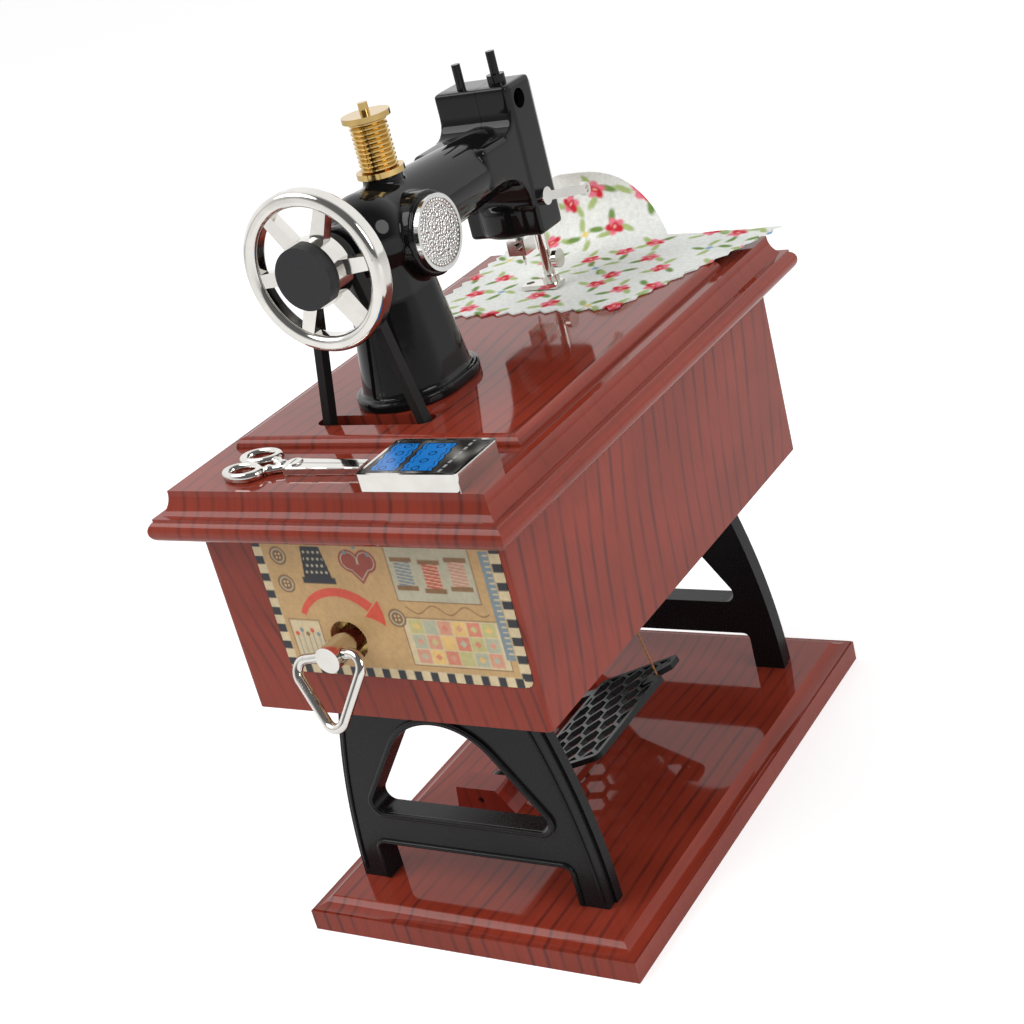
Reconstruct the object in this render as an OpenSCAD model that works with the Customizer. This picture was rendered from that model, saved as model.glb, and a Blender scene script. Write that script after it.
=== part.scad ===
// Wind-up music box in the shape of a treadle sewing machine on its cabinet and stand.
// The origin is the middle of the base underside, +X is the winding key end, +Y the back of the machine.

/* [Base board] */
// Length of the base board
base_l = 151; // [145:1:165]
// Width of the base board
base_w = 99; // [96:1:110]
// Height of the base board
base_h = 8.4; // [8:0.2:11]
// Wall of the hollow base board
base_wall = 2.2; // [1.6:0.2:3]
// Height of the plain side of the base board
base_side_h = 6; // [5:0.2:6.4]
// Distance that the moulded edge of the base board steps in
base_step = 5; // [4:0.2:7]
// Radius of the hollow moulding round the base board
base_cove_r = 5; // [4:0.2:9]

/* [Legs] */
// Height of a leg
leg_h = 62.5; // [58:0.5:72]
// Thickness of a leg
leg_t = 6; // [5.5:0.5:8]
// Distance from the middle of the object to the outer face of a leg
leg_face_x = 60.5; // [56:0.5:63]
// Half width of a leg at the top
leg_top_half = 26; // [24:0.5:30]
// Half width of a leg at the feet
leg_foot_half = 38; // [37:0.5:42]
// Place of the legs across the base board
leg_y = -2.4; // [-4:0.1:0]
// Radius of the bowed side of a leg
leg_side_r = 200; // [160:10:600]
// Half width of the arch in a leg
arch_half = 27; // [24:0.5:28]
// Height of the arch over its sill
arch_h = 29.6; // [28:0.2:31]
// Radius of the round top of the arch
arch_r = 18; // [16:0.5:20]
// Height of the sill of the arch above the base board
arch_sill = 22; // [20:0.5:25]
// Radius of the two lower corners of the arch
arch_corner_r = 3; // [2:0.5:5]
// Height of the cross bar of a leg
bar_h = 10.5; // [8:0.5:13]
// Width of a foot
foot_w = 8.6; // [8:0.2:10]
// Width of the raised bead round the arch
bead_w = 1.6; // [1:0.2:2.4]
// Height of the raised bead round the arch
bead_h = 0.7; // [0.4:0.1:1.2]

/* [Cabinet] */
// Length of the cabinet
cab_l = 149.6; // [145:0.4:153.6]
// Width of the cabinet
cab_w = 86.6; // [84.6:0.2:90]
// Height of the cabinet
cab_h = 51.2; // [49.2:0.5:57.2]
// Wall of the cabinet
cab_wall = 2.2; // [1.6:0.2:3]
// Thickness of the cabinet floor
floor_t = 2.4; // [2:0.2:3.2]
// Radius of the upright edges of the cabinet
cab_edge_r = 1.2; // [0.6:0.2:2.4]
// Width of the printed label
label_w = 70; // [60:1:74]
// Distance of the lower edge of the label below the middle of the key hole
label_drop = 9.8; // [8:0.2:11]
// Thickness of the printed label
label_t = 0.3; // [0.2:0.1:0.6]
// Distance from the back face of the cabinet to the edge of the label
label_margin = 1.2; // [1:0.2:3]

/* [Table top] */
// Length of the table top over the moulded edge
table_l = 168; // [164:1:176]
// Width of the table top over the moulded edge
table_w = 101.6; // [99.6:0.4:108]
// Height of the table top without its raised panel
table_h = 11.8; // [11:0.2:14]
// Radius of the round nose of the table edge
nose_r = 2.9; // [2:0.1:3.2]
// Distance that the hollow moulding of the table edge starts in
cove_foot = 3.3; // [2.5:0.1:4]
// Distance that the top of the table edge steps in
cove_top = 5.4; // [4.8:0.1:7]
// Radius of the hollow moulding of the table edge
table_cove_r = 8; // [6:0.5:14]
// Thickness of the table plate
plate_t = 2.6; // [2:0.2:3]
// Border of the table at each end of the raised panel
panel_margin = 28.5; // [27:0.5:30]
// Width of the raised panel
panel_w = 83; // [80:1:86]
// Height of the raised panel
panel_h = 2.4; // [2:0.2:3.4]
// Length of the belt slot
slot_l = 34; // [32:1:38]
// Width of the belt slot
slot_w = 5.7; // [5:0.1:7]

/* [Machine] */
// Place of the machine across the table
mach_y = -4.9; // [-7:0.1:-3]
// Place of the pillar along the table
pillar_x = 24.6; // [22:0.2:27]
// Radius of the foot flange
flange_r = 13.75; // [13:0.25:15]
// Height of the foot flange
flange_h = 2.6; // [2:0.2:4]
// Half the distance between the two round ends of the pillar
pillar_spread = 3.65; // [2:0.05:5]
// Radius of the pillar just over the flange
pillar_foot_r = 12.2; // [11:0.2:13]
// Radius of the pillar under the shoulder
pillar_top_r = 8.6; // [8:0.2:10]
// Height of the shaft over the table
shaft_h = 40.2; // [38:0.2:44]
// Radius of the arm at the pillar
arm_r = 11; // [10.4:0.2:11.4]
// Radius of the arm at the head
arm_end_r = 8.4; // [7.8:0.2:8.6]
// Wall of the machine halves
mach_wall = 2.2; // [1.6:0.2:2.6]
// Distance from the pillar to the key end face of the upper head
head_reach = 56.4; // [54.4:0.2:58]
// Depth of the front block of the head along the arm
head_d = 11.6; // [11:0.2:13]
// Width of the head
head_w = 22.8; // [22:0.2:23.6]
// Place of the head across the arm
head_shift = -1.9; // [-2:0.1:-1.5]
// Height of the head
head_h = 40.8; // [39:0.2:43]
// Height of the underside of the head over the table
head_clear = 17.6; // [16:0.2:19]
// Distance that the belly of the head stands out towards the pillar
belly_d = 2.4; // [1.6:0.2:3.6]
// Height of the belly of the head
belly_h = 9.4; // [8:0.2:11]
// Length of the body between the front block of the head and the round arm
body_l = 17.8; // [16:0.2:19]
// Height of the lip at the top of the head
lip_h = 7; // [6:0.2:8]
// Thickness of the face plate
face_t = 1.2; // [0.8:0.1:2]
// Radius of the round cover disc
disc_r = 9.3; // [8.6:0.1:9.9]
// Radius of the boss behind the cover disc
disc_boss_r = 10.4; // [10:0.1:11]
// Thickness of the round cover disc
disc_t = 1.6; // [1.2:0.1:2.4]

/* [Wheel and belt] */
// Radius of the handwheel
wheel_r = 19.5; // [18:0.5:21]
// Width of the handwheel rim along the shaft
rim_w = 5; // [4:0.2:6]
// Depth of the handwheel rim
rim_d = 3.8; // [3:0.2:4.6]
// Number of spokes
spokes = 6; // [5:1:8]
// Place of the middle of the handwheel rim along the table
wheel_x = 50.2; // [50:0.1:51]
// Radius of the handwheel hub
hub_r = 8.2; // [7.4:0.2:9]
// Radius of the hub cap
cap_r = 7.6; // [6.4:0.2:8.2]
// Diameter of the upper shaft
shaft_d = 3; // [2.4:0.1:3.6]
// Radius of the small pulley behind the handwheel
small_pulley_r = 4.5; // [4:0.1:5]
// Radius of the large pulley under the table
large_pulley_r = 18; // [16:0.5:18.5]
// Width of the belt
belt_w = 3; // [2:0.2:3.4]
// Thickness of the belt
belt_t = 2.2; // [1.4:0.2:2.4]
// Place of the belt along the table
belt_x = 44.9; // [44.6:0.1:45.2]

/* [Movement] */
// Place of the winding key across the cabinet
key_y = -7.2; // [-9:0.1:-6]
// Height of the winding key over the cabinet underside
key_h = 21.7; // [20.5:0.2:23.5]
// Radius of the key hole in the cabinet end
key_hole_r = 5.2; // [4.6:0.1:6]
// Radius of the key stem
stem_r = 3.4; // [3:0.1:4]
// Distance that the key stem stands out of the cabinet
stem_out = 9.7; // [9:0.1:12]
// Depth of the movement between its two plates
movement_d = 20; // [19:0.5:22]
// Thickness of the movement plates
frame_t = 2; // [1.6:0.1:2.4]
// Tooth module of the spring drive gears
gear_m = 0.8; // [0.76:0.02:0.84]
// Teeth of the great wheel on the spring barrel
great_teeth = 30; // [28:1:32]
// Teeth of the pinion on the drive shaft
pinion_teeth = 10; // [10:1:12]
// Teeth of the wheel on the pinned cylinder
cylinder_teeth = 20; // [18:1:22]
// Tooth module of the governor gears
fine_m = 0.5; // [0.48:0.01:0.52]
// Teeth of the governor wheel
governor_teeth = 40; // [38:1:42]
// Teeth of the governor pinion
fan_teeth = 8; // [8:1:9]
// Width of the gears
gear_t = 2.4; // [2:0.1:2.6]
// Radius of the pinned cylinder
cylinder_r = 6.3; // [5.6:0.1:6.6]
// Radius of the spring barrel
barrel_r = 11; // [10:0.2:11.4]
// Number of comb teeth
comb_teeth = 18; // [12:1:22]

/* [Key ring] */
// Diameter of the ring wire
ring_wire = 2.6; // [2:0.1:2.8]
// Length of the straight top of the ring
ring_w = 25.5; // [22:0.5:27]
// Drop of the ring from its top to its point
ring_drop = 20; // [18:0.5:21]
// Place of the ring along its cross hole
ring_shift = -2; // [-3:0.1:0]
// Lean of the ring away from the cabinet at rest
ring_lean = 25; // [0:1:40]
// Radius of the bends of the ring
ring_bend_r = 3.2; // [2.6:0.1:4]
// Turn of the key at rest
key_turn = 10; // [0:1:20]

/* [Treadle] */
// Length of the pedal along the cabinet
pedal_l = 52; // [46:1:56]
// Depth of the pedal plate
pedal_d = 30; // [26:1:32]
// Thickness of the pedal plate
pedal_t = 1.6; // [1.4:0.2:2.4]
// Slope of the pedal at rest
pedal_slope = 22; // [20:1:26]
// Place of the middle of the pedal along the cabinet
pedal_x = -2; // [-4:0.5:0]
// Place of the pedal hinge across the base
hinge_y = -21.5; // [-24:0.5:-20]
// Height of the pedal hinge over the base board
hinge_h = 3.2; // [3:0.1:3.6]
// Diameter of the hinge pin
pin_d = 2; // [1.6:0.1:2.4]
// Reach of the pedal arms from the hinge to the plate
arm_reach = 13; // [12:0.5:15]
// Width of a pivot block
block_w = 7.5; // [6:0.5:9]
// Height of a pivot block
block_h = 7; // [6.4:0.2:8]
// Diameter of the pull thread
thread_d = 0.5; // [0.4:0.05:0.8]

/* [Trim] */
// Diameter of the spool flanges
spool_d = 12; // [11:0.2:13]
// Diameter of the wound part of the spool
spool_core_d = 9.4; // [8:0.2:10]
// Height of the spool
spool_h = 15; // [13:0.5:17]
// Moulded ribs on the spool
spool_ribs = 11; // [7:1:14]
// Length of the pattern box along the cabinet
box_l = 18.4; // [16:0.2:19]
// Width of the pattern box
box_w = 27; // [24:0.5:29]
// Height of the pattern box
box_h = 4.4; // [3.4:0.2:6]
// Thickness of the scissors
scissor_t = 1.6; // [1.2:0.1:2.4]
// Thickness of the cloth solid
cloth_t = 0.6; // [0.5:0.1:1]

/* [Hidden] */
$fn = 64;

// Running fit round a turning piece, and the fit of a piece pressed or screwed in place
fit = 0.05;
// Room between pieces that must not touch
gap = 0.3;
// A little more than nothing, for cuts that pass right through
over = 1;

// Levels of the stack, from the floor up
cab_z = base_h + leg_h;
floor_z = cab_z + floor_t;
table_z = cab_z + cab_h;
border_z = table_z + table_h;
panel_l = table_l - 2 * panel_margin;
plate_z = border_z - plate_t;
panel_z = border_z + panel_h;
shaft_z = panel_z + shaft_h;
key_z = cab_z + key_h;
head_z = panel_z + head_clear;
hinge_z = base_h + hinge_h;

// Ends of the cabinet and of the movement along the table
end_x = cab_l / 2;
wall_x = end_x - cab_wall;
front_x = wall_x - frame_t;
rear_x = front_x - movement_d;
end_play = 0.7;
gear_x = rear_x + end_play;
drum_x = gear_x + gear_t;
drum_l = movement_d - 2 * gear_t - 6 * end_play;
governor_x = drum_x + drum_l + 2 * gap;

// Wood-look plastic, black plastic, plated metal and the rest
wood = [0.5, 0.16, 0.11];
wood_dark = [0.42, 0.1, 0.07];
black = [0.06, 0.06, 0.065];
dark_grey = [0.12, 0.12, 0.13];
chrome = [0.8, 0.8, 0.8];
gold = [0.83, 0.62, 0.2];
brass = [0.75, 0.6, 0.25];
steel = [0.6, 0.6, 0.62];
parchment = [0.86, 0.72, 0.48];
linen = [0.9, 0.9, 0.86];
copper = [0.72, 0.4, 0.2];

function polar(r, a) = [r * cos(a), r * sin(a)];

// Centre of the circle of radius r through p and q, on the left of the way from p to q
function circle_centre(p, q, r) = let(d = q - p, len = norm(d), h = sqrt(r * r - len * len / 4))
    (p + q) / 2 + h * [-d.y, d.x] / len;

// Distance between two meshing gears, and the turn that lets the second mesh with the first
mesh_slack = 0.15;
function mesh_distance(m, n1, n2) = m * (n1 + n2) / 2 + mesh_slack;
function mesh_turn(turn, n1, n2, way) = way + 180 - (180 - (way - turn) * n1) / n2;

// The drive shaft lies straight under the upper shaft, in mesh with the great wheel
drive_rise = mesh_distance(gear_m, great_teeth, pinion_teeth);
drive_z = key_z + sqrt(drive_rise * drive_rise - (mach_y - key_y) * (mach_y - key_y));
drive_way = atan2(drive_z - key_z, mach_y - key_y);

// Puts a flat shape drawn in the plane across the cabinet, and raises it along the cabinet
module along_x() { rotate([90, 0, 90]) children(); }

// Raises a flat shape towards the back of the machine
module along_y() { rotate([-90, 0, 0]) children(); }

module both_ends() {
    children();
    mirror([1, 0, 0]) children();
}

module both_sides() {
    children();
    mirror([0, 1, 0]) children();
}

module rounded_rect(l, w, r) {
    square([l - 2 * r, w], center = true);
    square([l, w - 2 * r], center = true);
    for (x = [-1, 1], y = [-1, 1]) translate([x * (l / 2 - r), y * (w / 2 - r)]) circle(r);
}

// A moulded slab: the same edge profile runs round all four sides and is mitred at the corners
module mitred(l, w) {
    intersection() {
        along_x() linear_extrude(l, center = true) children(0);
        rotate([90, 0, 0]) linear_extrude(w, center = true) children(1);
    }
}

// Screw pointing up, with its head under the seat at the origin
screw_head_h = 1.6;
screw_cross_w = 0.8;
screw_cross_l = 1.3;
module screw(d, len) {
    difference() {
        union() {
            cylinder(d = d, h = len);
            translate([0, 0, -screw_head_h]) cylinder(d = 2 * d, h = screw_head_h);
        }
        for (a = [0, 90]) rotate(a) translate([0, 0, -screw_head_h])
            cube([screw_cross_l * d, screw_cross_w, screw_head_h], center = true);
    }
}

// Base board: a hollow moulded board with screw bosses under the feet and a cross rib
screw_d = 2.6;
boss_r = 4.6;
rib_t = 1.6;
foot_x = leg_face_x - leg_t / 2;
foot_y = leg_foot_half - foot_w / 2;
base_ledge = 1.4;
base_bead = 0.4;
base_seat_z = 3.6;
module base_profile(half) {
    bead_z = base_side_h + base_bead;
    cove = circle_centre([half - base_step, base_h], [half - base_ledge, bead_z], base_cove_r);
    difference() {
        union() {
            translate([-half, 0]) square([2 * half, base_side_h]);
            translate([-half + base_ledge / 3, 0]) square([2 * half - 2 * base_ledge / 3, bead_z]);
            translate([-half + base_ledge, 0]) square([2 * half - 2 * base_ledge, base_h]);
        }
        for (s = [-1, 1]) translate([s * cove.x, cove.y]) circle(base_cove_r, $fn = 128);
    }
}

// Both sides of the middle of a leg
module at_leg_sides() {
    translate([0, leg_y, 0]) both_sides() children();
}

module at_feet() {
    both_ends() at_leg_sides() translate([foot_x, foot_y, 0]) children();
}

module base_board() {
    color(wood) difference() {
        union() {
            difference() {
                mitred(base_l, base_w) {
                    base_profile(base_w / 2);
                    base_profile(base_l / 2);
                }
                translate([0, 0, -over]) linear_extrude(base_h - base_wall + over)
                    square([base_l - 2 * base_step, base_w - 2 * base_step], center = true);
            }
            at_feet() cylinder(r = boss_r, h = base_h - base_wall);
            translate([0, 0, base_h / 2 - base_wall / 2]) {
                cube([base_l - 2 * base_step, rib_t, base_h - base_wall], center = true);
                cube([rib_t, base_w - 2 * base_step, base_h - base_wall], center = true);
            }
        }
        at_feet() {
            translate([0, 0, -over]) cylinder(d = screw_d + 2 * fit, h = base_h + 2 * over);
            translate([0, 0, -over]) cylinder(d = 2 * screw_d + 4 * fit, h = base_seat_z + over);
        }
    }
}

base_screw_bite = 8;
module base_screws() {
    color(steel) at_feet() translate([0, 0, base_seat_z])
        screw(screw_d, base_h - base_seat_z + base_screw_bite);
}

// Legs: arched plates with a bead round the arch, and a wider back layer along the sides
back_step = 0.7;
back_t = 3;
gap_corner_r = 2;
// The arch: a round top, two straight sides that touch it, and two small lower corners
module arch(grow) {
    top = [0, arch_sill + arch_h - arch_r];
    low = [arch_half - arch_corner_r, arch_sill + arch_corner_r];
    way = low - top;
    lean = atan2(way.y, way.x) + acos((arch_r - arch_corner_r) / norm(way));
    touch = top + polar(arch_r + grow, lean);
    heel = low + polar(arch_corner_r + grow, lean);
    sill = [low.x, arch_sill - grow];
    intersection() {
        translate(top) circle(arch_r + grow, $fn = 128);
        translate([-arch_half, sill.y]) square([2 * arch_half, arch_h + 2 * grow + over]);
    }
    polygon([touch, heel, sill, [-sill.x, sill.y], [-heel.x, heel.y], [-touch.x, touch.y]]);
    for (s = [-1, 1]) translate([s * low.x, low.y]) circle(arch_corner_r + grow);
}

module leg_outline(grow) {
    c = circle_centre([leg_foot_half, 0], [leg_top_half, leg_h], leg_side_r);
    door_half = leg_foot_half - foot_w;
    door_h = arch_sill - bar_h;
    corner = [door_half - gap_corner_r, door_h - gap_corner_r];
    difference() {
        intersection() {
            translate([-leg_foot_half - over, 0]) square([2 * leg_foot_half + 2 * over, leg_h]);
            translate(c) circle(leg_side_r + grow, $fn = 256);
            mirror([1, 0]) translate(c) circle(leg_side_r + grow, $fn = 256);
        }
        arch(0);
        translate([-door_half, -over]) square([2 * door_half, corner.y + over]);
        translate([-corner.x, 0]) square([2 * corner.x, door_h]);
        for (s = [-1, 1]) translate([s * corner.x, corner.y]) circle(gap_corner_r);
    }
}

leg_screw_y = 15;
leg_screw_bite = 7;
module leg() {
    color(black) difference() {
        translate([leg_face_x, leg_y, base_h]) {
            translate([-leg_t, 0, 0]) along_x() linear_extrude(leg_t) leg_outline(0);
            translate([-leg_t, 0, 0]) along_x() linear_extrude(back_t) leg_outline(back_step);
            along_x() linear_extrude(bead_h) difference() {
                arch(bead_w);
                arch(0);
            }
        }
        at_leg_sides() translate([foot_x, foot_y, base_h - over])
            cylinder(d = screw_d + 2 * fit, h = base_screw_bite + 1.5 * over);
        at_leg_sides() translate([foot_x, leg_screw_y, cab_z - leg_screw_bite - over / 2])
            cylinder(d = screw_d + 2 * fit, h = leg_screw_bite + over);
    }
}

module leg_key_end() { leg(); }

module leg_needle_end() { mirror([1, 0, 0]) leg(); }

module leg_screws() {
    color(steel) both_ends() at_leg_sides() translate([foot_x, leg_screw_y, floor_z])
        mirror([0, 0, 1]) screw(screw_d, floor_t + leg_screw_bite);
}

// Cabinet: a straight-walled tray that carries the movement on its key end wall
post_r = 3;
post_gap = 0.6;
post_x = wall_x - post_r - post_gap - over;
post_y = cab_w / 2 - cab_wall - post_r - post_gap;
post_bite = 10;
// Places of the four movement pillars from the winding key
pillar_places = [for (p = [[-13.3, -7.6], [32.2, -7.6], [23.2, 20.4], [-8.8, 17.4]]) p + [key_y, key_z]];
head_sink = 1.1;
movement_screw_d = 2;
module at_posts() {
    both_ends() both_sides() translate([post_x, post_y, 0]) children();
}

module at_pillars(x) {
    for (p = pillar_places) translate([x, p.x, p.y]) along_x() children();
}

module cabinet() {
    color(wood) difference() {
        translate([0, 0, cab_z]) linear_extrude(cab_h) rounded_rect(cab_l, cab_w, cab_edge_r);
        translate([0, 0, floor_z]) linear_extrude(cab_h)
            square([2 * wall_x, cab_w - 2 * cab_wall], center = true);
        translate([wall_x - over, key_y, key_z]) along_x() cylinder(r = key_hole_r, h = cab_wall + 2 * over);
        at_pillars(wall_x - over) cylinder(d = movement_screw_d + 2 * fit, h = cab_wall + 2 * over);
        at_pillars(end_x - head_sink) cylinder(d = 2 * movement_screw_d + 4 * fit, h = head_sink + over);
        both_ends() at_leg_sides() translate([foot_x, leg_screw_y, cab_z - over])
            cylinder(d = screw_d + 2 * fit, h = floor_t + 2 * over);
        at_posts() translate([0, 0, cab_z - over]) cylinder(d = screw_d + 2 * fit, h = floor_t + 2 * over);
        translate([thread_x, thread_floor_y, cab_z - over])
            cylinder(r = thread_hole_r, h = floor_t + 2 * over);
    }
}

module table_screws() {
    color(steel) at_posts() translate([0, 0, cab_z]) screw(screw_d, floor_t + post_bite);
}

// Table top: a moulded shell with a raised panel, a belt slot and four posts down to the cabinet floor
rim_lap = 0.8;
ledge_h = 0.3;
module table_profile(half) {
    cove = circle_centre([half - cove_top, table_h], [half - cove_foot, 2 * nose_r + ledge_h], table_cove_r);
    difference() {
        union() {
            translate([-half + nose_r, 0]) square([2 * half - 2 * nose_r, 2 * nose_r]);
            for (s = [-1, 1]) translate([s * (half - nose_r), nose_r]) circle(nose_r);
            translate([-half + nose_r / 2, nose_r]) square([2 * half - nose_r, nose_r + ledge_h]);
            translate([-half + cove_foot, nose_r]) square([2 * half - 2 * cove_foot, table_h - nose_r]);
        }
        intersection() {
            for (s = [-1, 1]) translate([s * cove.x, cove.y]) circle(table_cove_r, $fn = 128);
            translate([-half, 2 * nose_r + ledge_h]) square([2 * half, table_h]);
        }
    }
}

module panel_profile(half) {
    translate([-half + panel_h, -over]) square([2 * half - 2 * panel_h, panel_h + over]);
    intersection() {
        for (s = [-1, 1]) translate([s * (half - panel_h), 0]) circle(panel_h);
        translate([-half - over, -over]) square([2 * half + 2 * over, panel_h + 2 * over]);
    }
}

foot_screw_y = 6.6;
module at_foot_screws() {
    for (s = [-1, 1]) translate([pillar_x, mach_y + s * foot_screw_y, 0]) children();
}

module table_top() {
    color(wood) difference() {
        union() {
            difference() {
                translate([0, 0, table_z]) mitred(table_l, table_w) {
                    table_profile(table_w / 2);
                    table_profile(table_l / 2);
                }
                translate([0, 0, table_z - over]) linear_extrude(plate_z - table_z + over)
                    square([2 * wall_x - 2 * rim_lap, cab_w - 2 * cab_wall - 2 * rim_lap], center = true);
            }
            translate([0, 0, border_z]) mitred(panel_l, panel_w) {
                panel_profile(panel_w / 2);
                panel_profile(panel_l / 2);
            }
            at_posts() translate([0, 0, floor_z]) cylinder(r = post_r, h = plate_z - floor_z + over);
        }
        translate([belt_x, mach_y, plate_z - over]) linear_extrude(plate_t + panel_h + 2 * over) {
            square([slot_w, slot_l - slot_w], center = true);
            for (s = [-1, 1]) translate([0, s * (slot_l - slot_w) / 2]) circle(d = slot_w);
        }
        at_posts() translate([0, 0, floor_z - over])
            cylinder(d = screw_d + 2 * fit, h = post_bite + 1.5 * over);
        at_foot_screws() translate([0, 0, plate_z - over])
            cylinder(d = screw_d + 2 * fit, h = plate_t + panel_h + 2 * over);
    }
}

// Printed label glued on the key end of the cabinet, with the key hole through it
label_top_gap = 0.3;
label_corner_r = 2;
label_h = table_z - label_top_gap - key_z + label_drop;
module end_label() {
    y = cab_w / 2 - label_margin - label_w / 2;
    z = table_z - label_top_gap - label_h / 2;
    color(parchment) translate([end_x, 0, 0]) along_x() linear_extrude(label_t) difference() {
        translate([y, z]) rounded_rect(label_w, label_h, label_corner_r);
        translate([key_y, key_z]) circle(key_hole_r);
    }
}

// Treadle: two blocks on the base hold a pin, and the lattice pedal swings on it
block_lap = 4;
block_back = 8.5;
block_front = 10.5;
block_slant = 5;
lug_w = 3.4;
lug_r = 2.5;
pin_sink = 1.2;
notch_w = 7;
notch_d = 4.5;
notch_half = 0.6;
notch_wall = 1.6;
hole_l = 8;
hole_w = 5.4;
lattice_rib = 1;
pedal_rim = 1.5;
pedal_corner_r = 2;
block_x = pedal_l / 2 - block_lap;
module at_pedal() { translate([pedal_x, hinge_y, hinge_z]) children(); }

module pivot_blocks() {
    color(wood_dark) difference() {
        translate([pedal_x, hinge_y, base_h]) both_ends() translate([block_x, 0, 0]) along_x()
            linear_extrude(block_w) polygon([[-block_back, 0], [block_front, 0],
                [block_front - block_slant, block_h], [-block_back + block_slant / 5, block_h]]);
        at_pedal() along_x() cylinder(d = pin_d + 2 * fit, h = 2 * pedal_l, center = true);
    }
}

module pedal_pin() {
    color(steel) at_pedal() along_x()
        cylinder(d = pin_d, h = 2 * (block_x + block_w - pin_sink), center = true);
}

// Six-sided holes in rows, each row half a hole further along than the last
module lattice() {
    step_x = 1.4 * hole_l + 2 * lattice_rib;
    step_y = (hole_w + lattice_rib) / 2;
    nx = ceil(pedal_l / step_x / 2);
    ny = ceil(pedal_d / step_y);
    for (j = [0 : ny], i = [-nx : nx])
        translate([(i + (j % 2) / 2) * step_x, arm_reach + j * step_y])
            polygon([[-hole_l / 2, 0], [-hole_l / 5, hole_w / 2], [hole_l / 5, hole_w / 2], [hole_l / 2, 0],
                [hole_l / 5, -hole_w / 2], [-hole_l / 5, -hole_w / 2]]);
}

module pedal() {
    inner_l = pedal_l - 2 * pedal_rim;
    notch_x = thread_x - pedal_x;
    far = arm_reach + pedal_d;
    color(black) at_pedal() rotate([pedal_slope, 0, 0]) difference() {
        union() {
            translate([0, 0, -pedal_t / 2]) linear_extrude(pedal_t) difference() {
                translate([0, arm_reach + pedal_d / 2]) rounded_rect(pedal_l, pedal_d, pedal_corner_r);
                difference() {
                    intersection() {
                        lattice();
                        translate([-inner_l / 2, arm_reach + pedal_rim])
                            square([inner_l, pedal_d - 2 * pedal_rim]);
                    }
                    translate([notch_x - notch_w / 2 - notch_wall, far - notch_d - notch_wall])
                        square([notch_w + 2 * notch_wall, notch_d + 2 * notch_wall]);
                }
                polygon([[notch_x - notch_w / 2, far + over], [notch_x - notch_half, far - notch_d],
                    [notch_x + notch_half, far - notch_d], [notch_x + notch_w / 2, far + over]]);
            }
            both_ends() translate([block_x - gap - lug_w, 0, 0]) {
                along_x() cylinder(r = lug_r, h = lug_w);
                translate([0, 0, -pedal_t / 2]) cube([lug_w, arm_reach + pedal_rim, pedal_t]);
            }
        }
        along_x() cylinder(d = pin_d + 2 * fit, h = 2 * pedal_l, center = true);
    }
}

// Pull thread: from the notch of the pedal up through the cabinet floor to the pin of the thread crank
thread_x = -19;
thread_hole_r = 1.4;
crank_r = 5;
crank_pin_d = 1.6;
crank_turn = -55;
tie_s = arm_reach + pedal_d - notch_d + notch_wall / 2;
tie = [hinge_y + tie_s * cos(pedal_slope), hinge_z + tie_s * sin(pedal_slope)];
crank_pin = [mach_y, drive_z] + polar(crank_r, crank_turn);
thread_way = (crank_pin - tie) / norm(crank_pin - tie);
thread_len = norm(crank_pin - tie) - crank_pin_d / 2 - 2 * gap;
thread_floor_y = tie.x + (cab_z + floor_t / 2 - tie.y) * thread_way.x / thread_way.y;
module pull_thread() {
    color(copper) translate([thread_x, tie.x, tie.y])
        rotate([-atan2(thread_way.x, thread_way.y), 0, 0]) cylinder(d = thread_d, h = thread_len, $fn = 16);
}

// Machine: two black halves that meet on the middle plane, hollow for the shaft and the needle crank
head_x = pillar_x - head_reach;
face_x = head_x - head_d;
head_y = mach_y + head_shift;
head_side = head_y + head_w / 2;
head_top = head_z + head_h;
needle_in = 3.9;
needle_side = 3.1;
presser_side = 3.7;
needle_x = face_x + needle_in;
needle_y = mach_y - needle_side;
presser_y = mach_y + presser_side;
pillar_h = 26;
shoulder_x = pillar_x + pillar_spread;
boss_gap = 2;
boss_x = belt_x - belt_w / 2 - boss_gap;
wheel_boss_r = 7;
bush_r = 3.6;
bush_l = 5;
web_x = head_x + body_l - bush_l;
disc_back = 4.6;
disc_drop = 2.8;
disc_out = 2.2;
disc_x = pillar_x - disc_back;
disc_z = shaft_z - disc_drop;
disc_y = mach_y + arm_r + disc_out;
spool_back = 7.9;
spool_x = pillar_x - spool_back;
seat_r = 5;
seat_h = 0.9;
seat_z = shaft_z + arm_r + seat_h;
head_edge_r = 1.4;
belly_edge_r = 3;
body_side = 0.15;
belly_side = 0.6;
lip_d = 1;
scoop_r = 4.4;
under_r = 9;
head_screw_in = 4.4;
head_screw_drop = 4.6;
disc_screw_drop = 4.4;
screw_places = [[head_x - head_screw_in, head_top - head_screw_drop], [disc_x, disc_z - disc_screw_drop]];
half_screw_d = 2;
half_boss_r = 2.5;
half_screw_bite = 5;
screw_well_r = 2.6;
screw_well_d = 4;
peg_d = 2.4;
peg_sink = 2;
thin_peg_at = [head_x - peg_d, head_y - 4];
collar_peg_at = [head_x - 1.8 * peg_d, head_y + 6];

// The pillar: two leaning cones and the wedge between them, then straight up to the shaft
module pillar(grow) {
    r0 = pillar_foot_r - grow;
    r1 = pillar_top_r - grow;
    neck = shaft_h - pillar_h;
    translate([pillar_x, mach_y, panel_z]) {
        for (s = [-1, 1]) translate([s * pillar_spread, 0, 0]) {
            cylinder(r1 = r0, r2 = r1, h = pillar_h);
            translate([0, 0, pillar_h]) cylinder(r = r1, h = neck);
        }
        translate([-pillar_spread, 0, 0]) along_x() linear_extrude(2 * pillar_spread)
            polygon([[-r0, 0], [r0, 0], [r1, pillar_h], [r1, shaft_h], [-r1, shaft_h], [-r1, pillar_h]]);
    }
}

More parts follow.
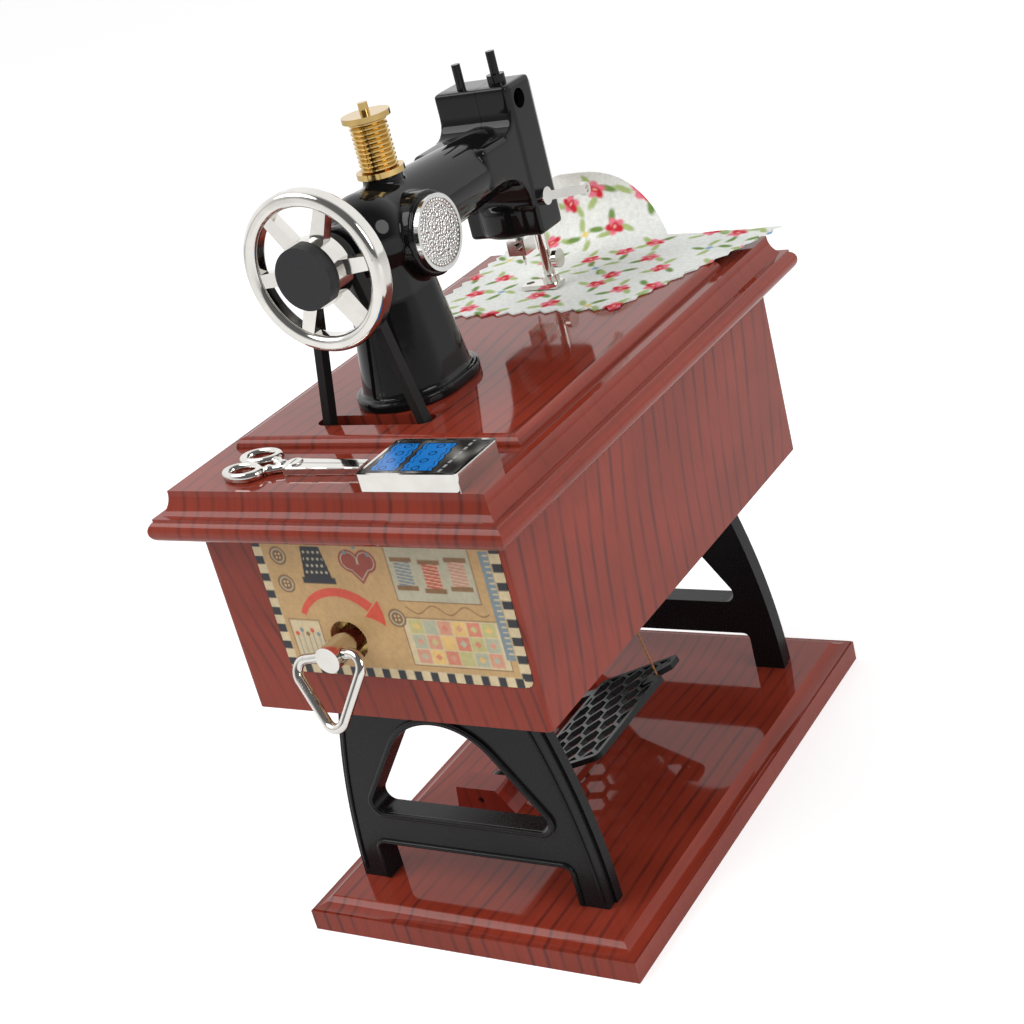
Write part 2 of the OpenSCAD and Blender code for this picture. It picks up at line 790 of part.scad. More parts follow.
module obround(r, h) {
    translate([pillar_x, mach_y, panel_z]) linear_extrude(h) {
        for (s = [-1, 1]) translate([s * pillar_spread, 0]) circle(r);
        square([2 * pillar_spread, 2 * r], center = true);
    }
}

module arm_cone(grow) {
    translate([head_x - over, mach_y, shaft_z]) along_x()
        cylinder(r1 = arm_end_r - grow, r2 = arm_r - gap - grow, h = shoulder_x - head_x + over);
}

// The belly is the round lower back of the head, with a round lower edge
module belly() {
    r = head_w / 2 - belly_side;
    intersection() {
        translate([head_x + belly_d - r, head_y, head_z]) rotate_extrude() {
            square([r - belly_edge_r, belly_h]);
            translate([0, belly_edge_r]) square([r, belly_h - belly_edge_r]);
            intersection() {
                translate([r - belly_edge_r, belly_edge_r]) circle(belly_edge_r);
                square(r + over);
            }
        }
        translate([head_x - head_d / 2, head_y - head_w, head_z]) cube([2 * head_w, 2 * head_w, belly_h]);
    }
}

// The body behind the front block: a lip, a hollow down to the arm, and an arch under it over the belly
module head_body() {
    scoop_z = head_top - lip_h - scoop_r;
    belly_z = head_z + belly_h;
    translate([head_x, head_y, 0]) rotate([90, 0, 0])
        linear_extrude(head_w - 2 * body_side, center = true) difference() {
            union() {
                translate([-over, belly_z - gap]) square([lip_d + under_r + over, under_r + gap]);
                translate([-over, belly_z + under_r]) square([body_l + over, scoop_z - belly_z - under_r]);
                translate([-over, scoop_z]) square([lip_d + scoop_r + over, scoop_r]);
                translate([-over, scoop_z + scoop_r]) square([lip_d + over, lip_h]);
            }
            translate([lip_d + scoop_r, scoop_z + scoop_r]) circle(scoop_r - gap);
            translate([lip_d + under_r, belly_z]) circle(under_r - gap);
        }
}

module machine_outer() {
    obround(flange_r, flange_h);
    pillar(0);
    translate([shoulder_x, mach_y, shaft_z]) along_x() sphere(arm_r);
    arm_cone(0);
    translate([shoulder_x, mach_y, shaft_z]) along_x() cylinder(r = wheel_boss_r, h = boss_x - shoulder_x);
    translate([disc_x, mach_y, disc_z]) along_y() cylinder(r = disc_boss_r, h = disc_y - mach_y);
    translate([spool_x, mach_y, shaft_z]) cylinder(r = seat_r, h = seat_z - shaft_z);
    translate([face_x + head_d / 2, head_y, head_z + belly_edge_r]) linear_extrude(head_h - belly_edge_r)
        rounded_rect(head_d, head_w, head_edge_r);
    translate([face_x, head_y - head_w / 2 + head_edge_r, head_z])
        cube([head_d, head_w - 2 * head_edge_r, head_h / 2]);
    translate([face_x + head_d / 2, head_y - head_w / 2, head_z + belly_edge_r])
        cube([head_d / 2, head_w, head_h - belly_edge_r]);
    head_body();
    belly();
}

module machine_inner() {
    difference() {
        union() {
            pillar(mach_wall);
            arm_cone(mach_wall);
            translate([face_x + mach_wall, head_y - head_w / 2 + mach_wall, head_z + mach_wall])
                cube([head_d - 2 * mach_wall, head_w - 2 * mach_wall, head_h - 2 * mach_wall]);
            translate([face_x + mach_wall, mach_y - arm_end_r + mach_wall, shaft_z - arm_end_r + mach_wall])
                cube([head_d, 2 * arm_end_r - 2 * mach_wall,
                    arm_end_r - mach_wall + throw + crank_edge + gap]);
        }
        translate([web_x - bush_l / 2, mach_y - arm_r, shaft_z - arm_r])
            cube([bush_l, 2 * arm_r, 2 * arm_r]);
        for (p = screw_places) translate([p.x, mach_y - arm_r, p.y]) along_y()
            cylinder(r = half_boss_r, h = 2 * arm_r);
        at_foot_screws() translate([0, 0, panel_z - over])
            cylinder(r = boss_r - mach_wall, h = post_bite + over);
        translate([spool_x, mach_y, shaft_z + arm_r / 2]) cylinder(r = peg_d, h = arm_r);
    }
    for (x = [boss_x - bush_l, web_x - bush_l / 2]) translate([x, mach_y, shaft_z]) along_x()
        cylinder(r = bush_r + fit, h = bush_l + gap);
    translate([head_x, mach_y, shaft_z]) along_x()
        cylinder(d = shaft_d + 4 * gap, h = boss_x - head_x + over);
    translate([needle_x, needle_y, head_z - over]) cylinder(d = bar_d + 2 * fit, h = 2 * mach_wall + over);
    translate([needle_x, presser_y, head_z - over])
        cylinder(d = presser_d + 2 * fit, h = 2 * mach_wall + over);
    for (p = screw_places) translate([p.x, mach_y - half_screw_bite, p.y]) along_y()
        cylinder(d = half_screw_d + 2 * fit, h = half_screw_bite + 2 * arm_r);
    translate([screw_places[0].x, head_side - screw_well_d, screw_places[0].y]) along_y()
        cylinder(r = screw_well_r, h = screw_well_d + over);
    translate([screw_places[1].x, disc_y - screw_well_d, screw_places[1].y]) along_y()
        cylinder(r = screw_well_r, h = screw_well_d + over);
    at_foot_screws() translate([0, 0, panel_z - over]) cylinder(d = screw_d + 2 * fit, h = post_bite);
    for (p = [thin_peg_at, collar_peg_at]) translate([p.x, p.y, head_top - peg_sink])
        cylinder(d = peg_d + 2 * fit, h = peg_sink + over);
    translate([spool_x, mach_y, seat_z - 2 * peg_sink])
        cylinder(d = peg_d + 2 * fit, h = 2 * peg_sink + over);
    translate([lever_x, head_side - peg_sink, lever_z]) along_y()
        cylinder(d = peg_d + 2 * fit, h = peg_sink + over);
}

module machine_half(side) {
    reach = 4 * head_reach;
    color(black) intersection() {
        difference() {
            machine_outer();
            machine_inner();
        }
        translate([0, mach_y + side * reach / 2, panel_z + reach / 2]) cube(reach, center = true);
    }
}

module machine_front_half() { machine_half(-1); }

module machine_back_half() { machine_half(1); }

// Screws that join the halves: one in a well of the head, one behind the cover disc
module machine_screws() {
    seats = [head_side - screw_well_d, disc_y - screw_well_d];
    color(steel) for (i = [0, 1]) translate([screw_places[i].x, seats[i], screw_places[i].y])
        rotate([90, 0, 0]) screw(half_screw_d, seats[i] - mach_y + half_screw_bite - gap);
}

module foot_screws() {
    color(steel) at_foot_screws() translate([0, 0, plate_z])
        screw(screw_d, plate_t + panel_h + post_bite - 2 * over);
}

// Face plate: a plated plate on the needle end of the head
face_margin = 1;
module face_plate() {
    color(chrome) translate([face_x - face_t, head_y, head_z + head_h / 2]) along_x() linear_extrude(face_t)
        rounded_rect(head_w - 2 * face_margin, head_h - 2 * face_margin, head_edge_r);
}

peg_h = 6.6;
collar_peg_h = 8.4;
collar_r = 2.4;
collar_h = 2.4;
module thin_peg() {
    color(black) translate([thin_peg_at.x, thin_peg_at.y, head_top - peg_sink])
        cylinder(d = peg_d, h = peg_h + peg_sink);
}

module collar_peg() {
    color(black) translate([collar_peg_at.x, collar_peg_at.y, head_top]) {
        translate([0, 0, -peg_sink]) cylinder(d = peg_d, h = collar_peg_h + peg_sink);
        cylinder(r = collar_r, h = collar_h);
    }
}

// Spool: one plated moulding with ribs, on a pin in the seat of the arm
spool_flange_h = 1.4;
spool_pin_out = 2.6;
rib_slope = 0.35;
module spool() {
    core_h = spool_h - 2 * spool_flange_h;
    step = core_h / spool_ribs;
    r = spool_core_d / 2;
    rib = step / 2;
    bore = peg_d / 2 + fit;
    color(gold) translate([spool_x, mach_y, seat_z]) rotate_extrude() {
        translate([bore, 0]) square([spool_d / 2 - bore, spool_flange_h]);
        translate([bore, spool_h - spool_flange_h]) square([spool_d / 2 - bore, spool_flange_h]);
        translate([bore, 0]) square([r - rib - bore, spool_h]);
        polygon(concat([[peg_d, spool_flange_h]], [for (i = [0 : spool_ribs - 1])
            each [[r - rib, spool_flange_h + i * step], [r, spool_flange_h + (i + rib_slope) * step],
                [r, spool_flange_h + (i + 1 - rib_slope) * step]]], [[r - rib, spool_h - spool_flange_h],
            [peg_d, spool_h - spool_flange_h]]));
    }
}

module spool_pin() {
    color(gold) translate([spool_x, mach_y, seat_z - 2 * peg_sink])
        cylinder(d = peg_d, h = 2 * peg_sink + spool_h + spool_pin_out);
}

// Cover disc: a plated disc with a raised rim over the screw well of the pillar
disc_rim = 0.9;
module cover_disc() {
    color(chrome) translate([disc_x, disc_y, disc_z]) along_y() difference() {
        cylinder(r = disc_r, h = disc_t);
        translate([0, 0, disc_t - disc_rim / 2]) cylinder(r = disc_r - disc_rim, h = disc_t);
    }
}

// Presser: a plated bar under the head, its foot on the cloth, a thumb screw and a lifting lever
presser_d = 3;
bar_d = 2.4;
foot_t = 1.2;
foot_l = 11;
foot_half_w = 2.6;
foot_sleeve_r = 2.4;
foot_sleeve_h = 3.4;
foot_z = panel_z + cloth_t + gap;
knob_r = 2.6;
knob_t = 1.4;
knob_drop = 8.9;
knob_z = head_z - knob_drop;
lever_in = 4.4;
lever_up = 9.6;
lever_x = head_x - lever_in;
lever_z = head_z + lever_up;
lever_eye = 0.8;
lever_l = 21;
lever_drop = 14;
lever_w = 2.4;
lever_t = 1.5;
module presser_bar() {
    color(chrome) translate([needle_x, presser_y, foot_z + foot_t / 2])
        cylinder(d = presser_d, h = head_z + 2 * mach_wall - gap - foot_z - foot_t / 2);
}

module presser_foot() {
    color(chrome) difference() {
        union() {
            translate([needle_x - foot_half_w, presser_y + foot_half_w - foot_l, foot_z])
                cube([2 * foot_half_w, foot_l, foot_t]);
            translate([needle_x, presser_y, foot_z]) cylinder(r = foot_sleeve_r, h = foot_sleeve_h);
        }
        translate([needle_x, presser_y, foot_z + foot_t / 2])
            cylinder(d = presser_d + 2 * fit, h = foot_sleeve_h);
        translate([needle_x, needle_y, foot_z - over]) cylinder(r = bar_d / 2, h = foot_t + 2 * over);
    }
}

module presser_knob() {
    color(chrome) translate([needle_x, presser_y + presser_d / 2, knob_z]) along_y() {
        translate([0, 0, knob_t]) cylinder(r = knob_r, h = knob_t);
        difference() {
            translate([0, 0, -presser_d / 2]) cylinder(d = presser_d / 2, h = knob_t + presser_d / 2);
            translate([0, 0, -presser_d / 2]) rotate([90, 0, 0])
                cylinder(d = presser_d, h = 2 * knob_r, center = true);
        }
    }
}

module presser_lever() {
    color(chrome) translate([lever_x, head_side, lever_z]) {
        translate([0, -peg_sink, 0]) along_y() cylinder(d = peg_d, h = peg_sink);
        rotate([0, -lever_drop, 0]) along_y() linear_extrude(lever_t) difference() {
            union() {
                circle(lever_w);
                translate([-lever_l, -lever_w / 2]) square([lever_l, lever_w]);
                translate([-lever_l, 0]) circle(lever_eye * lever_w);
            }
            translate([-lever_l, 0]) circle(lever_eye * lever_w / 2);
        }
    }
}

// Needle: a bar that slides in the head, its clamp and screw, and the needle; the yoke faces the crank pin
clamp_w = 5.6;
clamp_h = 4.2;
clamp_gap = 2.4;
clamp_seat = 1;
clamp_screw_d = 1.4;
clamp_head_h = 1.2;
clamp_z = head_z - clamp_gap - clamp_h;
yoke_t = 1.4;
yoke_h = 5;
yoke_slot = 2;
yoke_x = needle_x + bar_d / 2 - yoke_t / 3;
throw = 2.5;
bar_top = shaft_z + throw + clamp_h;
yoke_w = 2 * throw + 2 * needle_side;
module needle_bar() {
    color(chrome) {
        translate([needle_x, needle_y, clamp_z + clamp_seat])
            cylinder(d = bar_d, h = bar_top - clamp_z - clamp_seat);
        difference() {
            translate([yoke_x, needle_y - over, shaft_z - yoke_h + yoke_slot / 2])
                cube([yoke_t, yoke_w, yoke_h]);
            translate([yoke_x - over, mach_y - throw - over, shaft_z - yoke_slot])
                cube([yoke_t + 2 * over, 2 * throw + 2 * over, yoke_slot]);
        }
    }
}

module needle_clamp() {
    color(chrome) difference() {
        translate([needle_x - clamp_w / 2, needle_y - clamp_w / 2, clamp_z])
            cube([clamp_w, clamp_w, clamp_h]);
        translate([needle_x, needle_y, clamp_z + clamp_seat]) cylinder(d = bar_d + 2 * fit, h = clamp_h);
        translate([needle_x, needle_y, clamp_z - over]) cylinder(d = needle_d + 2 * fit, h = 2 * over);
        translate([needle_x, needle_y, clamp_z + clamp_h / 2]) along_x()
            cylinder(d = clamp_screw_d + 2 * fit, h = clamp_w);
    }
}

module clamp_screw() {
    reach = clamp_w / 2 - bar_d / 2 - gap;
    color(chrome) translate([needle_x + bar_d / 2 + gap, needle_y, clamp_z + clamp_h / 2]) along_x() {
        cylinder(d = clamp_screw_d, h = reach);
        translate([0, 0, reach]) cylinder(d = 2 * clamp_screw_d, h = clamp_head_h);
    }
}

needle_d = 0.9;
needle_tip = 1.6;
needle_l = 4.6;
module needle() {
    color(steel) translate([needle_x, needle_y, clamp_z + clamp_seat - needle_l]) {
        translate([0, 0, needle_tip]) cylinder(d = needle_d, h = needle_l - needle_tip);
        cylinder(d1 = needle_d / 3, d2 = needle_d, h = needle_tip);
    }
}

// Upper shaft: runs in two bushes from the handwheel to the crank disc inside the head
crank_pin_l = 2;
crank_x = yoke_x + yoke_t + gap + crank_pin_l;
crank_t = 1.6;
crank_edge = 2;
shaft_end_x = wheel_x + rim_w / 2;
module shaft_bushes() {
    color(brass) for (x = [boss_x - bush_l, web_x - bush_l / 2]) translate([x, mach_y, shaft_z]) along_x()
        difference() {
            cylinder(r = bush_r, h = bush_l);
            translate([0, 0, -over]) cylinder(d = shaft_d + 2 * fit, h = bush_l + 2 * over);
        }
}

module upper_shaft() {
    color(steel) translate([crank_x, mach_y, shaft_z]) along_x()
        cylinder(d = shaft_d, h = shaft_end_x - crank_x);
}

module crank_disc() {
    color(steel) translate([crank_x, mach_y, shaft_z]) along_x() difference() {
        union() {
            cylinder(r = throw + crank_edge, h = crank_t);
            translate([0, throw, -crank_pin_l]) cylinder(d = crank_pin_d, h = crank_pin_l);
        }
        translate([0, 0, -crank_pin_l - over])
            cylinder(d = shaft_d + 2 * fit, h = crank_pin_l + crank_t + 2 * over);
    }
}

// Handwheel: plated, with a round rim and tapered spokes, and a black cap in its hub
spoke_t = 3;
spoke_w = 4.2;
spoke_turn = 5;
rim_round = 1.4;
pulley_side = 0.9;
pulley_rim = 1.2;
hub_x = belt_x + belt_w / 2 + gap + pulley_side;
hub_lip = 0.4;
hub_end_x = wheel_x + rim_w / 2 + hub_lip;
cap_out = 3;
cap_step = 1;
spoke_taper = 1.3;
module handwheel() {
    r0 = wheel_r - rim_d / 2;
    color(chrome) translate([wheel_x, mach_y, shaft_z]) along_x() difference() {
        union() {
            rotate_extrude($fn = 128) translate([r0, 0]) rounded_rect(rim_d, rim_w, rim_round);
            for (i = [0 : spokes - 1]) rotate(spoke_turn + 360 * i / spokes) translate([0, 0, -spoke_t / 2])
                linear_extrude(spoke_t) polygon([[0, -spoke_w / 2], [r0, -spoke_w / 2 / spoke_taper],
                    [r0, spoke_w / 2 / spoke_taper], [0, spoke_w / 2]]);
            translate([0, 0, hub_x - wheel_x]) cylinder(r = hub_r, h = hub_end_x - hub_x);
        }
        translate([0, 0, hub_x - wheel_x - over]) cylinder(d = shaft_d + 2 * fit, h = 2 * rim_w);
        translate([0, 0, rim_w / 2]) cylinder(r = cap_r - cap_step + fit, h = rim_w);
    }
}

module hub_cap() {
    color(dark_grey) translate([shaft_end_x, mach_y, shaft_z]) along_x() {
        cylinder(r = cap_r - cap_step, h = hub_end_x - shaft_end_x);
        translate([0, 0, hub_end_x - shaft_end_x]) cylinder(r = cap_r, h = cap_out);
    }
}

// Belt and its two pulleys
belt_rise = shaft_z - drive_z;
belt_lean = asin((large_pulley_r - small_pulley_r) / belt_rise);
module pulley(r) {
    w = belt_w + 2 * gap;
    difference() {
        translate([0, 0, -w / 2 - pulley_side]) {
            cylinder(r = r + pulley_rim, h = pulley_side);
            cylinder(r = r, h = w + 2 * pulley_side);
            translate([0, 0, w + pulley_side]) cylinder(r = r + pulley_rim, h = pulley_side);
        }
        cylinder(d = shaft_d + 2 * fit, h = 4 * w, center = true);
    }
}

module belt_loop(grow) {
    small = small_pulley_r + grow;
    large = large_pulley_r + grow;
    n = polar(1, belt_lean);
    circle(large, $fn = 128);
    translate([0, belt_rise]) circle(small);
    polygon([[-large * n.x, large * n.y], [large * n.x, large * n.y], [small * n.x, belt_rise + small * n.y],
        [-small * n.x, belt_rise + small * n.y]]);
}

module small_pulley() {
    color(black) translate([belt_x, mach_y, shaft_z]) along_x() pulley(small_pulley_r);
}

module large_pulley() {
    color(black) translate([belt_x, mach_y, drive_z]) along_x() pulley(large_pulley_r);
}

module drive_belt() {
    color(black) translate([belt_x - belt_w / 2, mach_y, drive_z]) along_x() linear_extrude(belt_w)
        difference() {
            belt_loop(2 * fit + belt_t);
            belt_loop(2 * fit);
        }
}

// Gears have straight flanks and some play; the tooth sizes are shares of the module and of the pitch
root_depth = 1.3;
tip_height = 0.85;
root_share = 0.3;
pitch_share = 0.2;
tip_share = 0.08;
module gear(n, m, turn) {
    r = n * m / 2;
    p = 360 / n;
    low = r - root_depth * m;
    high = r + tip_height * m;
    rotate(turn) polygon([for (i = [0 : n - 1]) each [polar(low, (i - root_share) * p),
        polar(r, (i - pitch_share) * p), polar(high, (i - tip_share) * p), polar(high, (i + tip_share) * p),
        polar(r, (i + pitch_share) * p), polar(low, (i + root_share) * p)]]);
}

// Drive shaft under the table: pinion, large pulley and thread crank turn with it
drive_end_x = wall_x - gap;
thread_pin_l = 3;
thread_crank_edge = 1.4;
crank_face_x = thread_x + thread_pin_l / 2;
module drive_shaft() {
    color(steel) translate([crank_face_x, mach_y, drive_z]) along_x()
        cylinder(d = shaft_d, h = drive_end_x - crank_face_x);
}

module drive_pinion() {
    turn = mesh_turn(0, great_teeth, pinion_teeth, drive_way);
    color(brass) translate([gear_x, mach_y, drive_z]) along_x() difference() {
        linear_extrude(gear_t) gear(pinion_teeth, gear_m, turn);
        translate([0, 0, -over]) cylinder(d = shaft_d + 2 * fit, h = gear_t + 2 * over);
    }
}

module thread_crank() {
    color(steel) translate([crank_face_x, mach_y, drive_z]) along_x() rotate(crank_turn) difference() {
        union() {
            cylinder(r = crank_r + thread_crank_edge, h = crank_t);
            translate([crank_r, 0, -thread_pin_l]) cylinder(d = crank_pin_d, h = thread_pin_l);
        }
        translate([0, 0, -over]) cylinder(d = shaft_d + 2 * fit, h = crank_t + 2 * over);
    }
}

bracket_x = -8;
bracket_t = 3;
bracket_w = 13;
bracket_foot_t = 2;
module shaft_bracket() {
    color(steel) difference() {
        union() {
            translate([bracket_x, mach_y - bracket_w / 2, floor_z])
                cube([bracket_t, bracket_w, drive_z - floor_z]);
            translate([bracket_x, mach_y, drive_z]) along_x() cylinder(d = bracket_w, h = bracket_t);
            translate([bracket_x, mach_y - bracket_w / 2, floor_z])
                cube([bracket_w, bracket_w, bracket_foot_t]);
        }
        translate([bracket_x - over, mach_y, drive_z]) along_x()
            cylinder(d = shaft_d + 2 * fit, h = bracket_t + 2 * over);
    }
}

// Movement: two plates on four pillars carry the spring barrel, the pinned cylinder and the governor
cyl_y = key_y + mesh_distance(gear_m, great_teeth, cylinder_teeth);
fan_z = key_z + mesh_distance(fine_m, governor_teeth, fan_teeth);
arbor_d = 4;
cyl_arbor_d = 2.4;
fan_arbor_d = 1.6;
frame_side = 17.3;
frame_far = 41;
frame_rise = 24.4;
frame_y0 = key_y - frame_side;
frame_y1 = key_y + frame_far;
frame_z0 = floor_z + gap;
frame_z1 = key_z + frame_rise;
pillar_r = 2;
movement_bite = 4;
module frame_plate(x) {
    difference() {
        translate([x, frame_y0, frame_z0]) cube([frame_t, frame_y1 - frame_y0, frame_z1 - frame_z0]);
        for (b = [[key_y, key_z, arbor_d], [cyl_y, key_z, cyl_arbor_d], [cyl_y, fan_z, fan_arbor_d],
                [mach_y, drive_z, shaft_d]])
            translate([x - over, b[0], b[1]]) along_x() cylinder(d = b[2] + 2 * fit, h = frame_t + 2 * over);
        at_pillars(x - over) cylinder(d = movement_screw_d + 2 * fit, h = frame_t + 2 * over);
    }
}

module front_plate() { color(brass) frame_plate(front_x); }

module rear_plate() { color(brass) frame_plate(rear_x - frame_t); }

module plate_pillars() {
    color(brass) at_pillars(rear_x) difference() {
        cylinder(r = pillar_r, h = movement_d);
        translate([0, 0, movement_d - movement_bite - gap])
            cylinder(d = movement_screw_d + 2 * fit, h = movement_bite + over);
    }
    color(brass) at_pillars(rear_x - frame_t) cylinder(d = movement_screw_d, h = frame_t);
}

module movement_screws() {
    seat = end_x - head_sink;
    color(steel) at_pillars(seat) mirror([0, 0, 1]) difference() {
        union() {
            cylinder(d = movement_screw_d, h = seat - front_x + movement_bite);
            translate([0, 0, -head_sink]) cylinder(d = 2 * movement_screw_d, h = head_sink);
        }
        for (a = [0, 90]) rotate(a) translate([0, 0, -head_sink])
            cube([screw_cross_l * movement_screw_d, screw_cross_w, head_sink], center = true);
    }
}

barrel_wall = 1;
arbor_gap = 0.1;
module spring_barrel() {
    color(brass) translate([gear_x, key_y, key_z]) along_x() difference() {
        union() {
            linear_extrude(gear_t) gear(great_teeth, gear_m, 0);
            translate([0, 0, gear_t]) cylinder(r = barrel_r, h = drum_l);
        }
        translate([0, 0, gear_t]) cylinder(r = barrel_r - barrel_wall, h = drum_l - barrel_wall);
        translate([0, 0, -over]) cylinder(r = arbor_d / 2 + arbor_gap, h = gear_t + drum_l + 2 * over);
    }
}

// Mainspring: a flat spiral between the arbor and the barrel wall
spring_turns = 5;
spring_t = 0.5;
spring_points = 20;
module mainspring() {
    r0 = arbor_d / 2 + 2 * gap;
    r1 = barrel_r - barrel_wall - spring_t - gap / 2;
    n = spring_turns * spring_points;
    inner = [for (i = [0 : n]) polar(r0 + (r1 - r0) * i / n, 360 * i / spring_points)];
    outer = [for (i = [n : -1 : 0]) polar(r0 + spring_t + (r1 - r0) * i / n, 360 * i / spring_points)];
    color(steel) translate([drum_x + gap, key_y, key_z]) along_x()
        linear_extrude(drum_l - barrel_wall - 2 * gap) polygon(concat(inner, outer));
}

arbor_back = 5;
arbor_end_x = end_x + stem_out - arbor_back;
module spring_arbor() {
    color(steel) translate([rear_x - frame_t + gap, key_y, key_z]) along_x()
        cylinder(d = arbor_d, h = arbor_end_x - rear_x + frame_t - gap);
}

// Winding key: a round stem screwed on the arbor, with a bent wire ring in its cross hole
stem_x = wall_x + 2 * gap;
ring_back = 2.6;
ring_x = end_x + stem_out - ring_back;
ring_play = 0.1;
module at_key() { translate([ring_x, key_y, key_z]) along_x() rotate(key_turn) children(); }

module key_stem() {
    color(chrome) difference() {
        translate([stem_x, key_y, key_z]) along_x() cylinder(r = stem_r, h = end_x + stem_out - stem_x);
        translate([stem_x - over, key_y, key_z]) along_x()
            cylinder(d = arbor_d + 2 * fit, h = arbor_end_x - stem_x + over);
        at_key() rotate([0, 90, 0]) cylinder(d = ring_wire + 2 * ring_play, h = 4 * stem_r, center = true);
    }
}

// The straight lengths reach a little way into the bends
wire_lap = 0.2;

// Wire bent round a closed loop of corners that runs anticlockwise
module wire_loop(p, bend, wire) {
    n = len(p);
    for (i = [0 : n - 1]) {
        a = p[(i + n - 1) % n];
        b = p[i];
        c = p[(i + 1) % n];
        d = p[(i + 2) % n];
        in = (b - a) / norm(b - a);
        out = (c - b) / norm(c - b);
        next = (d - c) / norm(d - c);
        turn = acos(in * out);
        cut = bend * tan(turn / 2);
        next_cut = bend * tan(acos(out * next) / 2);
        centre = b - cut * in + bend * [-in.y, in.x];
        translate(centre) rotate(atan2(in.y, in.x) - 90) rotate_extrude(angle = turn)
            translate([bend, 0]) circle(d = wire);
        translate(b + (cut - wire_lap) * out) rotate([0, 90, atan2(out.y, out.x)])
            cylinder(d = wire - wire_lap / 5, h = norm(c - b) - cut - next_cut + 2 * wire_lap);
    }
}

module key_ring() {
    color(chrome) at_key() rotate([-ring_lean, 0, 0]) translate([ring_shift, 0, 0])
        wire_loop([[-ring_w / 2, 0], [0, -ring_drop], [ring_w / 2, 0]], ring_bend_r, ring_wire);
}

// Pinned cylinder, comb and governor
pin_h = 0.5;
cylinder_pin_d = 0.5;
comb_l = drum_l - 2 * gap;
comb_t = 1.2;
comb_tip = cyl_y + cylinder_r + pin_h + gap;
comb_end = frame_y1 - 2 * gap;
comb_root = 6;
comb_slot = 0.2;
block_depth = 4.5;
block_drop = 9;
comb_bite = 5;
pin_turn = 137;
pin_pair = 160;
module music_cylinder() {
    step = comb_l / comb_teeth;
    color(brass) translate([gear_x, cyl_y, key_z]) along_x() {
        linear_extrude(gear_t) gear(cylinder_teeth, gear_m, mesh_turn(0, great_teeth, cylinder_teeth, 0));
        translate([0, 0, gear_t]) cylinder(r = cylinder_r, h = drum_l);
        translate([0, 0, governor_x - gear_x]) linear_extrude(gear_t - 2 * gap)
            gear(governor_teeth, fine_m, 0);
        translate([0, 0, gap - gear_x + rear_x - frame_t])
            cylinder(d = cyl_arbor_d, h = movement_d + 2 * frame_t - 2 * gap);
        for (i = [0 : comb_teeth - 1], k = [0, 1]) rotate(i * pin_turn + k * pin_pair)
            rotate([0, 90, 0])
            translate([-gear_t - (i + 0.5) * step - gap, 0, 0])
                cylinder(d = cylinder_pin_d, h = cylinder_r + pin_h, $fn = 16);
    }
}

module music_comb() {
    step = comb_l / comb_teeth;
    color(steel) difference() {
        translate([drum_x + gap, comb_tip, key_z - comb_t / 2]) cube([comb_l, comb_end - comb_tip, comb_t]);
        for (i = [1 : comb_teeth - 1])
            translate([drum_x + gap + i * step - comb_slot / 2, comb_tip - over, key_z - comb_t])
                cube([comb_slot, comb_end - comb_tip - comb_root + over, 2 * comb_t]);
        at_comb_screws() cylinder(d = movement_screw_d + 2 * fit, h = 4 * comb_t, center = true);
    }
}

module at_comb_screws() {
    for (k = [0.2, 0.8]) translate([drum_x + gap + k * comb_l, comb_end - block_depth / 2, key_z]) children();
}

module comb_block() {
    color(brass) difference() {
        translate([rear_x, comb_end - block_depth, key_z - block_drop])
            cube([movement_d, block_depth, block_drop - comb_t / 2]);
        at_comb_screws() translate([0, 0, -comb_bite - over])
            cylinder(d = movement_screw_d + 2 * fit, h = comb_bite + over);
    }
}

module comb_screws() {
    color(steel) at_comb_screws() translate([0, 0, comb_t / 2]) mirror([0, 0, 1])
        screw(movement_screw_d, comb_bite);
}

fan_r = 4.2;
fan_t = 0.8;
module governor() {
    turn = mesh_turn(0, governor_teeth, fan_teeth, 90);
    color(brass) translate([governor_x, cyl_y, fan_z]) along_x() {
        linear_extrude(gear_t - 2 * gap) gear(fan_teeth, fine_m, turn);
        translate([0, 0, rear_x - frame_t + gap - governor_x])
            cylinder(d = fan_arbor_d, h = movement_d + 2 * frame_t - 2 * gap);
        translate([-fan_r, -fan_t / 2, drum_x + over - governor_x])
            cube([2 * fan_r, fan_t, drum_l - 2 * over]);
    }
}

// Plated scissors lying on the border of the table, blades towards the back
scissor_in = 17;
scissor_x = table_l / 2 - scissor_in;
scissor_tip = 9;
loop_r = 5;
loop_w = 1.6;
loop_lap = 0.4;
loop_y = -30;
joint_y = -11;
joint_r = 2.7;
shank_w = 2.1;
shank_turn = 15;
blade_w = 2.2;
module scissors() {
    color(chrome) translate([scissor_x, 0, border_z]) linear_extrude(scissor_t) {
        for (s = [-1, 1]) {
            translate([s * (loop_r - loop_lap), loop_y]) difference() {
                circle(loop_r);
                circle(loop_r - loop_w);
            }
            translate([0, joint_y]) rotate(s * shank_turn)
                translate([-shank_w / 2, loop_y - joint_y + loop_r / 2])
                    square([shank_w, joint_y - loop_y - loop_r / 2]);
        }
        translate([0, joint_y]) circle(joint_r);
        polygon([[-blade_w, joint_y], [blade_w, joint_y], [blade_w / 4, scissor_tip],
            [-blade_w / 2, scissor_tip - blade_w]]);
    }
}

// Flat plated box lying beside the scissors, with a shallow panel for the print in its lid
box_corner_r = 1;
box_side = 2.4;
box_rim = 0.8;
box_sink = 0.3;
module pattern_box() {
    x = table_l / 2 - cove_top - gap - box_l / 2;
    color(chrome) translate([x, panel_w / 2 - box_side - box_w / 2, border_z]) difference() {
        linear_extrude(box_h) rounded_rect(box_l, box_w, box_corner_r);
        translate([0, 0, box_h - box_sink]) linear_extrude(box_h)
            rounded_rect(box_l - 2 * box_rim, box_w - 2 * box_rim, box_corner_r);
    }
}

